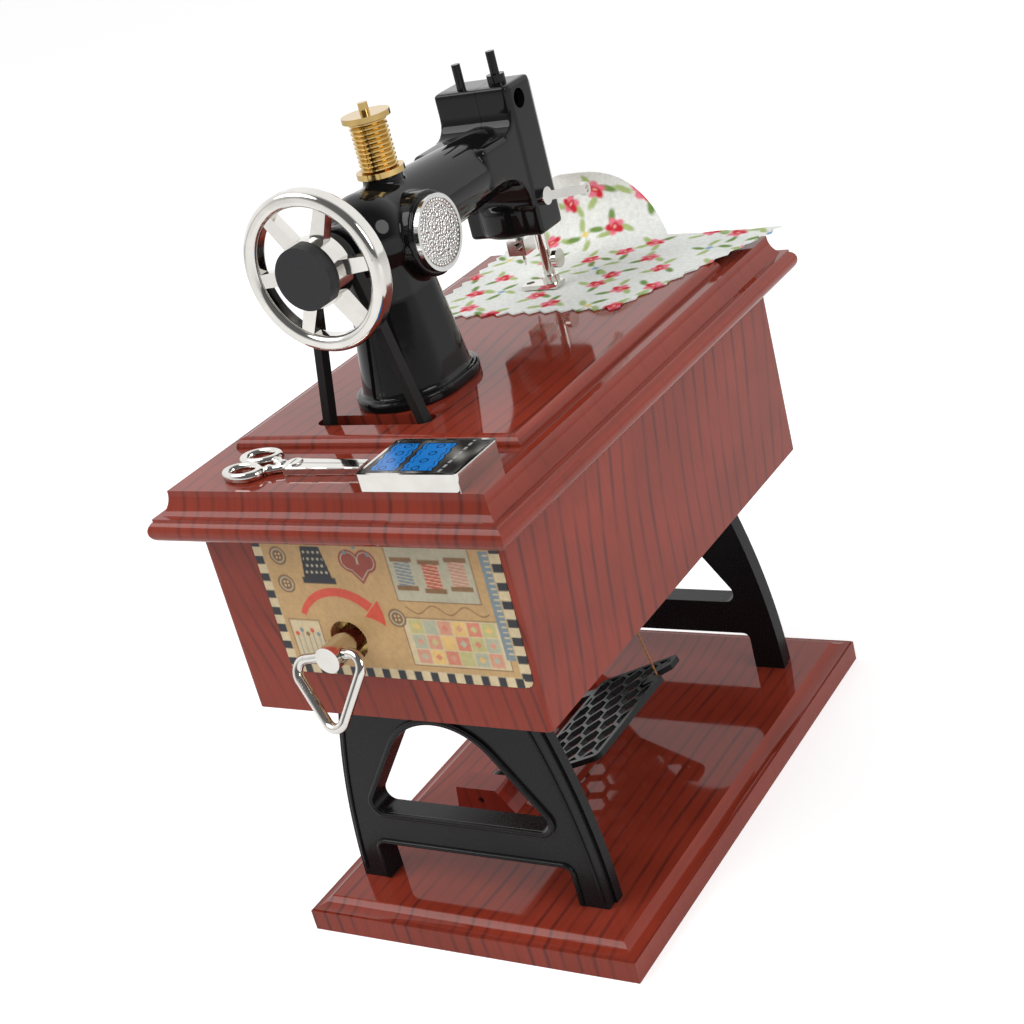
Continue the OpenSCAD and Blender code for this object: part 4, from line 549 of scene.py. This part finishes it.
# Border of dark blocks, three cards with a thin frame, and a tape
inset = -to_box(y, z, middle, (HALF_Y, HALF_Z))
run = np.where(off_z - HALF_Z > off_y - HALF_Y, y, z)
ink(prints, inset - BORDER, CREAM)
ink(prints, np.maximum(inset - BORDER + 0.2, to_stripes(run + 100, BLOCK_PITCH, BLOCK_HALF)), STITCH)
for at, size, colour in (((22.5, 111.5), (11.5, 7.2), CARD), ((24, 93.5), (13.6, 6.4), CREAM),
                         ((-19.2, 91.5), (4.6, 6.2), CREAM)):
    ink(prints, to_box(y, z, at, size), colour)
    ink(prints, np.abs(to_box(y, z, at, size)) - 0.14, BROWN)
ink(prints, to_box(y, z, (38, 104), (1.3, 14)), SLATE)
ink(prints, np.maximum(to_box(y, z, (38.4, 104), (0.7, 13.6)), to_stripes(z, 1.4, 0.18)), CREAM)

# Thimble with its pits, and a heart-shaped pincushion with three pins
thimble = np.maximum(np.abs(y + 10.5) - 4.3 + 0.16 * (z - 108.6), np.abs(z - 113.3) - 4.7)
ink(prints, thimble, STITCH)
ink(prints, to_box(y, z, (-10.5, 108.8), (4.9, 0.8)), STITCH)
for row in range(4):
    for column in range(5):
        pit = (-13.4 + 1.45 * column + 0.7 * (row % 2), 111 + 1.8 * row)
        ink(prints, np.maximum(to_dot(y, z, pit, 0.36), thimble + 0.5), CARD)
heart = np.minimum(np.hypot(np.abs(y - 2.5) - 2.4, z - 114.4) - 3.0, np.maximum(
    np.abs(y - 2.5) * 0.75 + (114 - z) * 0.66 - 3.75, z - 114.4))
ink(prints, heart, HEART_RED)
ink(prints, np.abs(heart + 0.7) - 0.12, CARD)
for pin in ((-0.6, 116.6), (2.6, 118.2), (6, 116.2)):
    ink(prints, to_dot(y, z, pin, 0.55), SLATE)

# Three buttons, three spools, patchwork, a row of pins and a loose thread
for at in ((-20.8, 115.2), (-20.8, 107.6), (9.2, 99.6)):
    for radius, colour in ((2.5, BROWN), (1.95, CARD), (1.6, BROWN)):
        ink(prints, to_dot(y, z, at, radius), colour)
    for hole in ((-0.5, -0.5), (0.5, -0.5), (-0.5, 0.5), (0.5, 0.5)):
        ink(prints, to_dot(y, z, (at[0] + hole[0], at[1] + hole[1]), 0.28), CREAM)
for at, wound in SPOOLS:
    ink(prints, to_box(y, z, at, (2.2, 3.3)), wound)
    ink(prints, np.maximum(to_box(y, z, at, (2.2, 3.2)), to_stripes(z + y * 0.15, 0.9, 0.12)), CREAM)
    for end in (-3.7, 3.7):
        ink(prints, to_box(y, z, (at[0], at[1] + end), (3.0, 0.6)), BROWN)
for row in range(3):
    for column in range(6):
        at = (14 + column * 4, 89.6 + row * 4)
        ink(prints, to_box(y, z, at, (1.85, 1.85)), PATCHES[(column * 2 + row * 3) % 5])
        ink(prints, to_box(y, z, at, (0.7, 0.7), 45), PATCHES[(column + row * 2 + 3) % 5])
for i in range(5):
    foot = (-22.4 + i * 1.6, 87.2 + (i % 2))
    ink(prints, to_box(y, z, (foot[0], foot[1] + 3.2), (0.12, 3.2)), SLATE)
    ink(prints, to_dot(y, z, (foot[0], foot[1] + 6.6), 0.6), (RED, SLATE, BROWN)[i % 3])
loose = np.abs(z - 102.2 - 1.1 * np.sin(y * 0.7)) - 0.17
ink(prints, np.maximum(loose, np.abs(y - 24) - 11.5), BROWN)

# Winding arrow round the key, swelling towards its head
ARROW = 13.2
turn = np.degrees(np.arctan2(z - KEY[1], y - KEY[0]))
away = np.hypot(y - KEY[0], z - KEY[1])
swell = 0.8 + 0.7 * np.clip((150 - turn) / 105, 0, 1)
ink(prints, np.maximum(np.abs(away - ARROW) - swell, np.abs(turn - 97) - 52), RED)
head = np.maximum(np.abs(away - ARROW) - 3.4 * np.clip((turn - 20) / 24, 0, 1), np.abs(turn - 32) - 12)
ink(prints, head, RED)
shaped(label, np.full(len(y), LABEL_X), y, z, prints)
past_y, past_z = off_y - (HALF_Y - CORNER), off_z - (HALF_Z - CORNER)
cut_off = (past_y > 0) & (past_z > 0) & (np.hypot(past_y, past_z) > CORNER)
drop_points(label, (away > KEY_HOLE) & ~cut_off)
applied(label, "SOLIDIFY", thickness=LABEL_THICK * mm, offset=0)


def printed(name, tone_scale, tone, low, high, weave=0.0):
    """Ink on paper, card or cloth: the print of the mesh, toned by slow stains and fine fibres."""
    made, tree, shader = finish(name)
    where = add(tree, "TexCoord").outputs["Object"]
    ground = add(tree, "Attribute", attribute_name="print").outputs["Color"]
    stain = ramp(tree, noise(tree, where, tone_scale, 4.0), 0.3, 0.7, tone, 1.08)
    fibres = noise(tree, where, 900.0, 4.0)
    shade = calc(tree, "MULTIPLY", stain, ramp(tree, fibres, 0.3, 0.7, 0.9, 1.06))
    toned = add(tree, "VectorMath", {0: ground, "Scale": shade}, operation="SCALE").outputs[0]
    set_shader(tree, shader, Base_Color=toned, Roughness=ramp(tree, fibres, 0.0, 1.0, low, high),
               Specular_IOR_Level=0.25)
    height = fibres
    if weave:
        flat = add(tree, "SeparateXYZ", {0: add(tree, "UVMap", uv_map="flat").outputs[0]})
        warp = calc(tree, "SINE", calc(tree, "MULTIPLY", flat.outputs[0], weave))
        weft = calc(tree, "SINE", calc(tree, "MULTIPLY", flat.outputs[1], weave))
        height = calc(tree, "MULTIPLY", warp, weft)
    bump(tree, shader, height, 0.25, 0.0001)
    return made


settle(label, "printed_label", printed("label_paper", 60.0, 0.86, 0.3, 0.45), "label_paper", "stand", "end_label")

# ---- Treadle
# Two red-brown pivot blocks with a steel pin, and a black lattice pedal that rocks on it.
# A two-ply copper-coloured thread goes from the pedal's end up into the cabinet.
dress(grained("pivot_block_plastic", (0.22, 0.026, 0.016, 1), (0.1, 0.014, 0.01, 1), 0.006), "pivot_blocks")
shaft_steel = plated("ground_steel", (0.56, 0.56, 0.58, 1), 0.18, 0.34, 900.0)
dress(shaft_steel, "pedal_pin", "upper_shaft", "crank_disc", "drive_shaft", "thread_crank", "shaft_bracket",
      "mainspring", "spring_arbor", "music_comb")
dress(plastic("satin_black_pedal", (0.008, 0.008, 0.009, 1), 0.24, 0.4, 1400.0, 0.25), "pedal")
thread_copper = plastic("copper_thread", (0.36, 0.16, 0.06, 1), 0.45, 0.6, 3000.0, 0.4)
THREAD_X, TIE, TOP_OF_THREAD = -19.0, (14.9, 26.3), (-2.0, 104.5)
PLY_RADIUS, PLY_OFF_MIDDLE, TWISTS, STEPS = 0.19, 0.17, 26, 160
plies = []
for ply in (0, math.pi):
    points = []
    for i in range(STEPS + 1):
        t = i / STEPS
        twist = ply + 2 * math.pi * TWISTS * t
        points.append((THREAD_X + PLY_OFF_MIDDLE * math.cos(twist),
                       TIE[0] + (TOP_OF_THREAD[0] - TIE[0]) * t + PLY_OFF_MIDDLE * math.sin(twist),
                       TIE[1] + (TOP_OF_THREAD[1] - TIE[1]) * t))
    plies.append(tube(points, PLY_RADIUS, False))
pull = joined(plies, "pull_thread_plies")
pull.data.materials.clear()
pull.data.materials.append(thread_copper)
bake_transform(pull)
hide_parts("pull_thread")

# ---- Machine body
# Two high gloss black mouldings, hollow for the shaft and the needle bar, that meet on the middle plane.
# The outside is blended from plain forms as in the mould, then cut into its two halves.
MID_Y, HEAD_Y = -4.9, -6.8
PANEL = 136.3
SHAFT = 176.5
HEAD_X, FACE_X, BODY_X = -31.8, -43.4, -14.0
HEAD_LOW, HEAD_TOP = 153.9, 194.7
HEAD_HALF, BODY_HALF, HEAD_WALL = 11.4, 11.1, 2.2
BELLY_TOP, SCOOP_LOW = 163.3, 183.3
BELLY_X, BELLY_RADIUS = HEAD_X - 8.6, 11
SCOOP_RADIUS, UNDER_RADIUS = 4.4, 9
PILLAR_X, PILLAR_HALF = 24.6, 3.65
FLANGE_RADIUS, FLANGE_TALL = 13.75, 2.6
PILLAR_FOOT, PILLAR_NECK, NECK_TALL = 12.2, 8.7, 26
ARM_HEAD, ARM_END, ARM_BALL = 8.3, 10.9, 11
BOSS_X, BOSS_RADIUS, BOSS_OUT = 20, 10.4, 13.2
SEAT_X, SEAT_RADIUS, SEAT_TOP = 16.7, 5, 188.4
BEARING_END, BEARING_RADIUS, SHAFT_HOLE = 41.4, 7, 2.2
VOXEL, SEAM = 0.42, 0.05


def block(low, high, edge=0.0):
    """A box between two corners in millimetres, with its edges rounded."""
    piece = start("cube", size=1, location=[(a + b) / 2 * mm for a, b in zip(low, high)])
    piece.scale = [(b - a) * mm for a, b in zip(low, high)]
    bpy.ops.object.transform_apply(location=True, rotation=True, scale=True)
    if edge:
        applied(piece, "BEVEL", width=edge * mm, segments=4)
    return piece


def rod(foot, tip, r0, r1=None, sides=96):
    """A round bar or cone between two points in millimetres."""
    a, b = Vector(foot) * mm, Vector(tip) * mm
    turn = (b - a).to_track_quat("Z", "Y").to_euler()
    piece = start("cone", vertices=sides, radius1=r0 * mm, radius2=(r0 if r1 is None else r1) * mm,
                  depth=(b - a).length, location=(a + b) / 2, rotation=turn)
    bpy.ops.object.transform_apply(location=True, rotation=True, scale=True)
    return piece


def hulled(pieces):
    """One convex form round several pieces."""
    piece = joined(pieces, "hull")
    bpy.ops.object.mode_set(mode="EDIT")
    bpy.ops.mesh.select_all(action="SELECT")
    bpy.ops.mesh.convex_hull()
    bpy.ops.object.mode_set(mode="OBJECT")
    return piece


def cut(piece, tool):
    """Takes the form of a tool out of a piece and removes the tool."""
    applied(piece, "BOOLEAN", operation="DIFFERENCE", object=tool, solver="EXACT")
    bpy.data.objects.remove(tool)


def smoothed(piece, angle):
    """Smooth shading over edges below an angle in degrees."""
    bpy.ops.object.select_all(action="DESELECT")
    piece.select_set(True)
    bpy.context.view_layer.objects.active = piece
    bpy.ops.object.shade_smooth_by_angle(angle=math.radians(angle))


gloss_black = plastic("gloss_black_machine", (0.006, 0.006, 0.0065, 1), 0.04, 0.1, 300.0, 0.04, 0.04, 0.1)
dress(gloss_black, "thin_peg", "collar_peg")
sides = [PILLAR_X - PILLAR_HALF, PILLAR_X + PILLAR_HALF]


def pillar(low, high, r0, r1=None):
    """The pillar between two heights: a long oval that narrows from r0 to r1."""
    return hulled([rod((x, MID_Y, low), (x, MID_Y, high), r0, r1) for x in sides])


forms = [
    pillar(PANEL, PANEL + FLANGE_TALL, FLANGE_RADIUS),
    pillar(PANEL, PANEL + NECK_TALL, PILLAR_FOOT, PILLAR_NECK),
    pillar(PANEL + NECK_TALL - 0.5, SHAFT, PILLAR_NECK + 0.05, PILLAR_NECK - 0.1),
    rod((HEAD_X - 4, MID_Y, SHAFT), (sides[1], MID_Y, SHAFT), ARM_HEAD, ARM_END),
    start("uv_sphere", radius=ARM_BALL * mm, location=(sides[1] * mm, MID_Y * mm, SHAFT * mm),
          segments=96, ring_count=48),
    rod((sides[1], MID_Y, SHAFT), (BEARING_END, MID_Y, SHAFT), BEARING_RADIUS),
    rod((BOSS_X, MID_Y, SHAFT - 2.8), (BOSS_X, MID_Y + BOSS_OUT, SHAFT - 2.8), BOSS_RADIUS),
    rod((SEAT_X, MID_Y, SHAFT), (SEAT_X, MID_Y, SEAT_TOP), SEAT_RADIUS),
    block((FACE_X, HEAD_Y - HEAD_HALF, HEAD_LOW + 0.2), (HEAD_X, HEAD_Y + HEAD_HALF, HEAD_TOP), 0.9),
    block((HEAD_X - 2, HEAD_Y - BODY_HALF, SCOOP_LOW - 1), (HEAD_X + 1, HEAD_Y + BODY_HALF, HEAD_TOP - 0.1), 0.7),
    block((HEAD_X - 2, HEAD_Y - BODY_HALF, 172), (BODY_X, HEAD_Y + BODY_HALF, SCOOP_LOW), 1.5),
]
belly = applied(rod((BELLY_X, HEAD_Y, HEAD_LOW), (BELLY_X, HEAD_Y, BELLY_TOP), BELLY_RADIUS), "BEVEL",
                width=2.2 * mm, segments=5, limit_method="ANGLE")
cut(belly, block((-60, -40, 140), (FACE_X, 40, 180)))
scoop_x, scoop_z = HEAD_X + 5.4, SCOOP_LOW + SCOOP_RADIUS
scoop = block((HEAD_X - 2, HEAD_Y - BODY_HALF, SCOOP_LOW - 1), (scoop_x, HEAD_Y + BODY_HALF, scoop_z))
cut(scoop, rod((scoop_x, -40, scoop_z), (scoop_x, 40, scoop_z), SCOOP_RADIUS))
under = block((HEAD_X - 2, HEAD_Y - BODY_HALF, BELLY_TOP - 1), (HEAD_X + 10, HEAD_Y + BODY_HALF, 173.5))
cut(under, rod((HEAD_X + 10, -40, BELLY_TOP), (HEAD_X + 10, 40, BELLY_TOP), UNDER_RADIUS))
forms += [belly, scoop, under]
machine = joined(forms, "machine_blank")
applied(machine, "REMESH", mode="VOXEL", voxel_size=VOXEL * mm)
applied(machine, "SMOOTH", factor=0.5, iterations=5)
room = HEAD_HALF - HEAD_WALL
cut(machine, block((FACE_X + HEAD_WALL, HEAD_Y - room, HEAD_LOW + HEAD_WALL),
                   (HEAD_X - HEAD_WALL, HEAD_Y + room, HEAD_TOP - HEAD_WALL)))
cut(machine, rod((HEAD_X - 6, MID_Y, SHAFT), (45, MID_Y, SHAFT), SHAFT_HOLE, sides=48))

# Holes of the needle bar, the presser bar, a screw, the lever, the two pegs and the spool pin
for foot, tip, radius in (
        ((-39.5, -8.0, HEAD_LOW - 2), (-39.5, -8.0, HEAD_LOW + 4), 1.45),
        ((-39.5, -1.2, HEAD_LOW - 2), (-39.5, -1.2, HEAD_LOW + 4), 1.6),
        ((-36.2, HEAD_Y + 7.4, 190.1), (-36.2, HEAD_Y + 14, 190.1), 2.6),
        ((-36.2, HEAD_Y + 9.4, 163.5), (-36.2, HEAD_Y + 14, 163.5), 1.25),
        ((HEAD_X - 2.4, HEAD_Y - 4, HEAD_TOP - 2), (HEAD_X - 2.4, HEAD_Y - 4, HEAD_TOP + 3), 1.25),
        ((HEAD_X - 4.32, HEAD_Y + 6, HEAD_TOP - 2), (HEAD_X - 4.32, HEAD_Y + 6, HEAD_TOP + 3), 1.25),
        ((SEAT_X, MID_Y, 184.4), (SEAT_X, MID_Y, 192), 1.25)):
    cut(machine, rod(foot, tip, radius, sides=48))

# Two copies, each with the other half taken away by a large block
for side, name, node in ((-1, "machine_front_shell", "machine_front_half"),
                         (1, "machine_back_shell", "machine_back_half")):
    half = machine.copy()
    half.data = machine.data.copy()
    scene.collection.objects.link(half)
    near, far = MID_Y + side * SEAM, MID_Y - side * 60
    cut(half, block((-80, min(near, far), 100), (80, max(near, far), 230)))
    smoothed(half, 38)
    settle(half, name, gloss_black, "machine_black", "stand", node)
bpy.data.objects.remove(machine)

# ---- Plated trim
# Vacuum plated plastic: handwheel, face plate, needle and presser parts, key and pattern box in silver,
# the spool in gold. With them the matt black cap and pulleys, the belt, and the brass of the movement.
plating = plated("bright_plating", (0.78, 0.755, 0.715, 1), 0.05, 0.13, 200.0)
dress(plating, "face_plate", "presser_bar", "presser_foot", "presser_knob", "presser_lever", "needle_bar",
      "needle_clamp", "clamp_screw", "needle", "handwheel", "pattern_box", "key_stem", "key_ring")
gold = plated("gold_plating", (0.66, 0.46, 0.18, 1), 0.08, 0.18, 200.0)
dress(gold, "spool", "spool_pin")
dress(plastic("matte_black_cap", (0.028, 0.028, 0.03, 1), 0.45, 0.6, 1800.0, 0.4),
      "hub_cap", "small_pulley", "large_pulley")
dress(plastic("belt_rubber", (0.012, 0.011, 0.011, 1), 0.5, 0.65, 2400.0, 0.6), "drive_belt")
brass = plated("movement_brass", (0.62, 0.44, 0.16, 1), 0.2, 0.34, 900.0)
dress(brass, "shaft_bushes", "drive_pinion", "front_plate", "rear_plate", "plate_pillars", "spring_barrel",
      "music_cylinder", "comb_block", "governor")

# ---- Cover disc
# A plated disc on the boss of the pillar. The CAD solid keeps its plain rim and gets a crushed,
# sparkling middle, and a ring of small beads lies round it.
DISC_X, DISC_Y, DISC_Z = 20.0, 9.45, 173.7
CRUSHED_Y, CRUSHED_RADIUS, CRUSHED_SCALE = 9.9, 7.1, 1500.0
BEADS, BEAD_RING, BEAD_RADIUS = 44, 7.75, 0.5
made, tree, shader = finish("sparkling_plating")
look = place_group(tree, metal, {"Streak": 200.0, "Low": 0.06, "High": 0.16})
where = add(tree, "TexCoord").outputs["Object"]
centre = (DISC_X * mm, CRUSHED_Y * mm, DISC_Z * mm)
spot = add(tree, "VectorMath", {0: where, 1: centre}, operation="DISTANCE").outputs["Value"]
inner = calc(tree, "LESS_THAN", spot, CRUSHED_RADIUS * mm)
crushed = add(tree, "TexVoronoi", {"Vector": where, "Scale": CRUSHED_SCALE, "Randomness": 1.0}, feature="F1")
toned = add(tree, "VectorMath", {0: (0.78, 0.78, 0.77), "Scale": look.outputs["Shade"]}, operation="SCALE").outputs[0]
set_shader(tree, shader, Base_Color=toned, Metallic=1.0, Roughness=look.outputs["Roughness"])
bump(tree, shader, calc(tree, "MULTIPLY", crushed.outputs["Distance"], inner), 0.9, 0.0006)
dress(made, "cover_disc")
beads = []
for i in range(BEADS):
    turn = 2 * math.pi * i / BEADS
    beads.append(start("ico_sphere", subdivisions=2, radius=BEAD_RADIUS * mm, location=(
        (DISC_X + BEAD_RING * math.cos(turn)) * mm, DISC_Y * mm, (DISC_Z + BEAD_RING * math.sin(turn)) * mm)))
ring = joined(beads, "disc_beads")
bpy.ops.object.transform_apply(location=True, rotation=True, scale=True)
bpy.ops.object.shade_smooth()
settle(ring, "disc_beads", plating, "plating", "stand")

# ---- Scissors
# A plated casting of closed scissors that lies on the border of the table, glued down:
# two long bows, a knot of beads, a pivot and one flat pair of blades with a line between them.
TABLE = 133.9
MIDDLE_Z, UNDERSIDE = TABLE + 1.1, TABLE + 0.05
BOW_RADIUS, BOW_THICK, BOW_SHAPE = 4.2, 1.15, (0.72, 1.14, 1.15)
BOWS = ((63.1, -27.2, 5), (71.3, -26.8, -5))
KNOT = ((65.3, -20.4, 1.35), (69.4, -20.2, 1.35), (67.5, -17.4, 1.75))
PIVOT_X, PIVOT_Y = 67.7, -13.6
BLADE_FOOT, BLADE_TIP = ((64.9, 70.4), (-15.5, -14.5), 2.1), ((65.4, 69.9), (6.0, 6.9), 2.0)
forms = []
for x, y, turn in BOWS:
    bow = start("torus", major_radius=BOW_RADIUS * mm, minor_radius=BOW_THICK * mm,
                major_segments=64, minor_segments=20)
    bow.scale = BOW_SHAPE
    bow.rotation_euler = (0, 0, math.radians(turn))
    bow.location = (x * mm, y * mm, (TABLE + 1.2) * mm)
    bpy.ops.object.transform_apply(location=True, rotation=True, scale=True)
    forms.append(bow)
    forms.append(rod((x + (67.4 - x) * 0.35, -21.8, MIDDLE_Z), (67.6, -15, MIDDLE_Z), 1.0, 1.1, 24))
for x, y, radius in KNOT:
    bead = start("uv_sphere", radius=radius * mm, location=(x * mm, y * mm, MIDDLE_Z * mm),
                 segments=32, ring_count=16)
    bpy.ops.object.transform_apply(location=True, rotation=True, scale=True)
    forms.append(bead)
forms.append(rod((PIVOT_X, PIVOT_Y, UNDERSIDE), (PIVOT_X, PIVOT_Y, TABLE + 2.6), 2.3, 2.1, 48))
forms.append(hulled([block((x[0], y[0], UNDERSIDE), (x[1], y[1], TABLE + tall))
                     for x, y, tall in (BLADE_FOOT, BLADE_TIP)]))
scissors = joined(forms, "scissors_casting")
applied(scissors, "REMESH", mode="VOXEL", voxel_size=0.2 * mm)
applied(scissors, "SMOOTH", factor=0.5, iterations=3)

# The line between the blades, the slot of the pivot and the flat underside
cut(scissors, block((67.5, -11.2, TABLE + 1.7), (67.75, 8, TABLE + 3)))
cut(scissors, block((66.4, -13.8, TABLE + 2.3), (69, -13.4, TABLE + 3)))
cut(scissors, block((50, -40, TABLE - 2), (90, 20, TABLE + 0.03)))
smoothed(scissors, 40)
settle(scissors, "scissors_casting", plating, "plating", "stand", "scissors")

# ---- Pattern box print
# A card in the shallow lid of the plated box. Its print is a design of its own:
# two blue scalloped bands with black stitching on a smoky grey ground.
BOX_X, BOX_Y, BOX_TOP = (60.8, 77.4), (13.0, 38.2), 138.12
BANDS = ((17.3, 3.3, 0.0), (26.3, 4.1, 1.2))
BAND_X, BAND_REACH, BAND_SLANT, OUTLINE = 69.1, 7.2, 0.12, 0.35
BLUE, INK_BLACK, INK_BLUE = (0.016, 0.19, 0.58), (0.006, 0.008, 0.012), (0.004, 0.01, 0.03)
STITCH_Y, PALE_STITCH = 33.6, (0.35, 0.36, 0.36)
card, v, w = lattice(100, 150)
x = BOX_X[0] + v * (BOX_X[1] - BOX_X[0])
y = BOX_Y[0] + w * (BOX_Y[1] - BOX_Y[0])
smoke = 0.5 + 0.3 * np.sin(x * 0.5 + 1.4 * np.sin(y * 0.33)) + 0.2 * np.sin(y * 0.9 - x * 0.7)
prints = np.outer(0.018 + 0.26 * np.clip(smoke, 0, 1) ** 2.5, (1.0, 0.95, 0.88))
past_end = np.abs(x - BAND_X) - BAND_REACH
for at, reach, phase in BANDS:
    edge = np.abs(y - at - BAND_SLANT * (x - 69)) - reach - 0.55 * np.abs(np.sin(x * 0.95 + phase))
    ink(prints, np.maximum(edge, past_end), INK_BLACK)
    ink(prints, np.maximum(edge, past_end) + OUTLINE, BLUE)
    ink(prints, np.maximum(np.abs(edge + 1.3) - 0.14, to_stripes(x + y, 1.5, 0.5)), INK_BLUE)
    for i in range(4):
        ink(prints, np.abs(to_dot(x, y, (63.6 + i * 3.7, at), 0.9)) - 0.16, INK_BLUE)
ink(prints, np.maximum(np.abs(y - STITCH_Y) - 0.35, to_stripes(x, 2.2, 0.7)), PALE_STITCH)
shaped(card, x, y, np.full(len(x), BOX_TOP), prints)
applied(card, "SOLIDIFY", thickness=0.12 * mm, offset=0)
settle(card, "pattern_box_print", printed("printed_card", 80.0, 0.9, 0.12, 0.22), "box_plating", "stand")

# ---- Cloth
# A pinked square of thin printed cotton, laid flat under the presser foot and curled up behind the head.
# The print is a spray of roses and leaves of its own, set out on a jittered grid.
CLOTH_FRONT, CLOTH_SIDE, CLOTH_Z, CLOTH_THICK = -22.4, -36.0, 136.6, 0.4
FRONT_EDGE, BACK_EDGE_MORE, FLAT_LENGTH, CURL_MORE = 64, 24, 54, 18
PINKING, FRONT_TOOTH, SIDE_TOOTH = 5, 1.9, 1.5
LIES_FLAT, BEND_RADIUS, CURL_MIDDLE, CURL_HALF = 42, 13, 0.31, 0.29
COTTON, RED_PETAL, PINK = (0.8, 0.815, 0.78), (0.62, 0.02, 0.04), (0.8, 0.2, 0.27)
GREEN, PALE_GREEN, STAMEN = (0.17, 0.29, 0.07), (0.4, 0.5, 0.2), (0.85, 0.55, 0.4)
SMALL_BLUE, SMALL_YELLOW = (0.25, 0.4, 0.62), (0.8, 0.62, 0.2)


def pinked(run):
    """0 at the notches of a pinked edge and 1 at the tips between them."""
    half = PINKING / 2
    return np.abs((run + half) % PINKING - half) / half


cloth, u, v = lattice(176, 216)
curl = np.maximum(0.01, 1 - ((v - CURL_MIDDLE) / CURL_HALF) ** 2)
across = v * (FRONT_EDGE + BACK_EDGE_MORE * u)
along = u * (FLAT_LENGTH + CURL_MORE * curl) - FRONT_TOOTH * pinked(across) * (1 - u) ** 14
across = across + SIDE_TOOTH * pinked(along) * ((1 - v) ** 20 - v ** 20)
past = np.maximum(0, along - LIES_FLAT)
bend = BEND_RADIUS / curl
turn = past / bend
dip = 0.25 * np.sin(along * 0.35 + across * 0.2) * np.clip((along - 30) / 20, 0, 1)
x = CLOTH_FRONT - np.minimum(along, LIES_FLAT) - bend * np.sin(turn) + dip * np.sin(turn)
z = CLOTH_Z + bend * (1 - np.cos(turn)) + np.abs(dip) * np.cos(turn)
prints = np.tile(COTTON, (len(x), 1)).astype(float)

# Roses, and small round flowers at every fifth place, each with its leaves
for i in range(7):
    for j in range(8):
        k = i * 8 + j
        at = (2 + i * 12.4 + 3.4 * math.sin(k * 2.4), 3 + j * 12.2 + (6 if i % 2 else 0) + 2.6 * math.cos(k * 1.7))
        lean = (k * 67) % 360
        small = k % 5 == 4
        for leaf in range(4 if small else 3):
            way = lean + 40 + leaf * (88 if small else 112)
            reach = 4.2 + 0.9 * math.sin(k + leaf)
            spot = (at[0] + reach * math.cos(math.radians(way)), at[1] + reach * math.sin(math.radians(way)))
            middle = ((at[0] + spot[0]) / 2, (at[1] + spot[1]) / 2)
            ink(prints, to_box(along, across, middle, (reach / 2, 0.16), way), PALE_GREEN, 0.3)
            ink(prints, to_oval(along, across, spot, (2.3, 0.95), way + 20), GREEN if leaf % 2 else PALE_GREEN, 0.5)
        if small:
            ink(prints, to_dot(along, across, at, 1.0), SMALL_BLUE if k % 2 else SMALL_YELLOW, 0.4)
            continue
        for petal in range(5):
            way = lean + petal * 72
            spot = (at[0] + 1.35 * math.cos(math.radians(way)), at[1] + 1.35 * math.sin(math.radians(way)))
            ink(prints, to_oval(along, across, spot, (1.6, 1.15), way), PINK if (petal + k) % 3 else RED_PETAL, 0.5)
        ink(prints, to_oval(along, across, at, (1.5, 0.9), lean), RED_PETAL, 0.5)
        ink(prints, to_oval(along, across, at, (0.6, 0.3), lean), STAMEN, 0.3)
shaped(cloth, x, CLOTH_SIDE + across, z, prints)
flat = cloth.data.uv_layers.new(name="flat")
corner = np.empty(len(cloth.data.loops), dtype=int)
cloth.data.loops.foreach_get("vertex_index", corner)
flat.data.foreach_set("uv", (np.stack([along, across], axis=1)[corner] * mm).ravel())
applied(cloth, "SOLIDIFY", thickness=CLOTH_THICK * mm, offset=0)
smoothed(cloth, 50)
cotton = printed("printed_cotton", 40.0, 0.93, 0.75, 0.9, 9000.0)
settle(cloth, "printed_cloth", cotton, "cloth_cotton", "stand", "cloth")
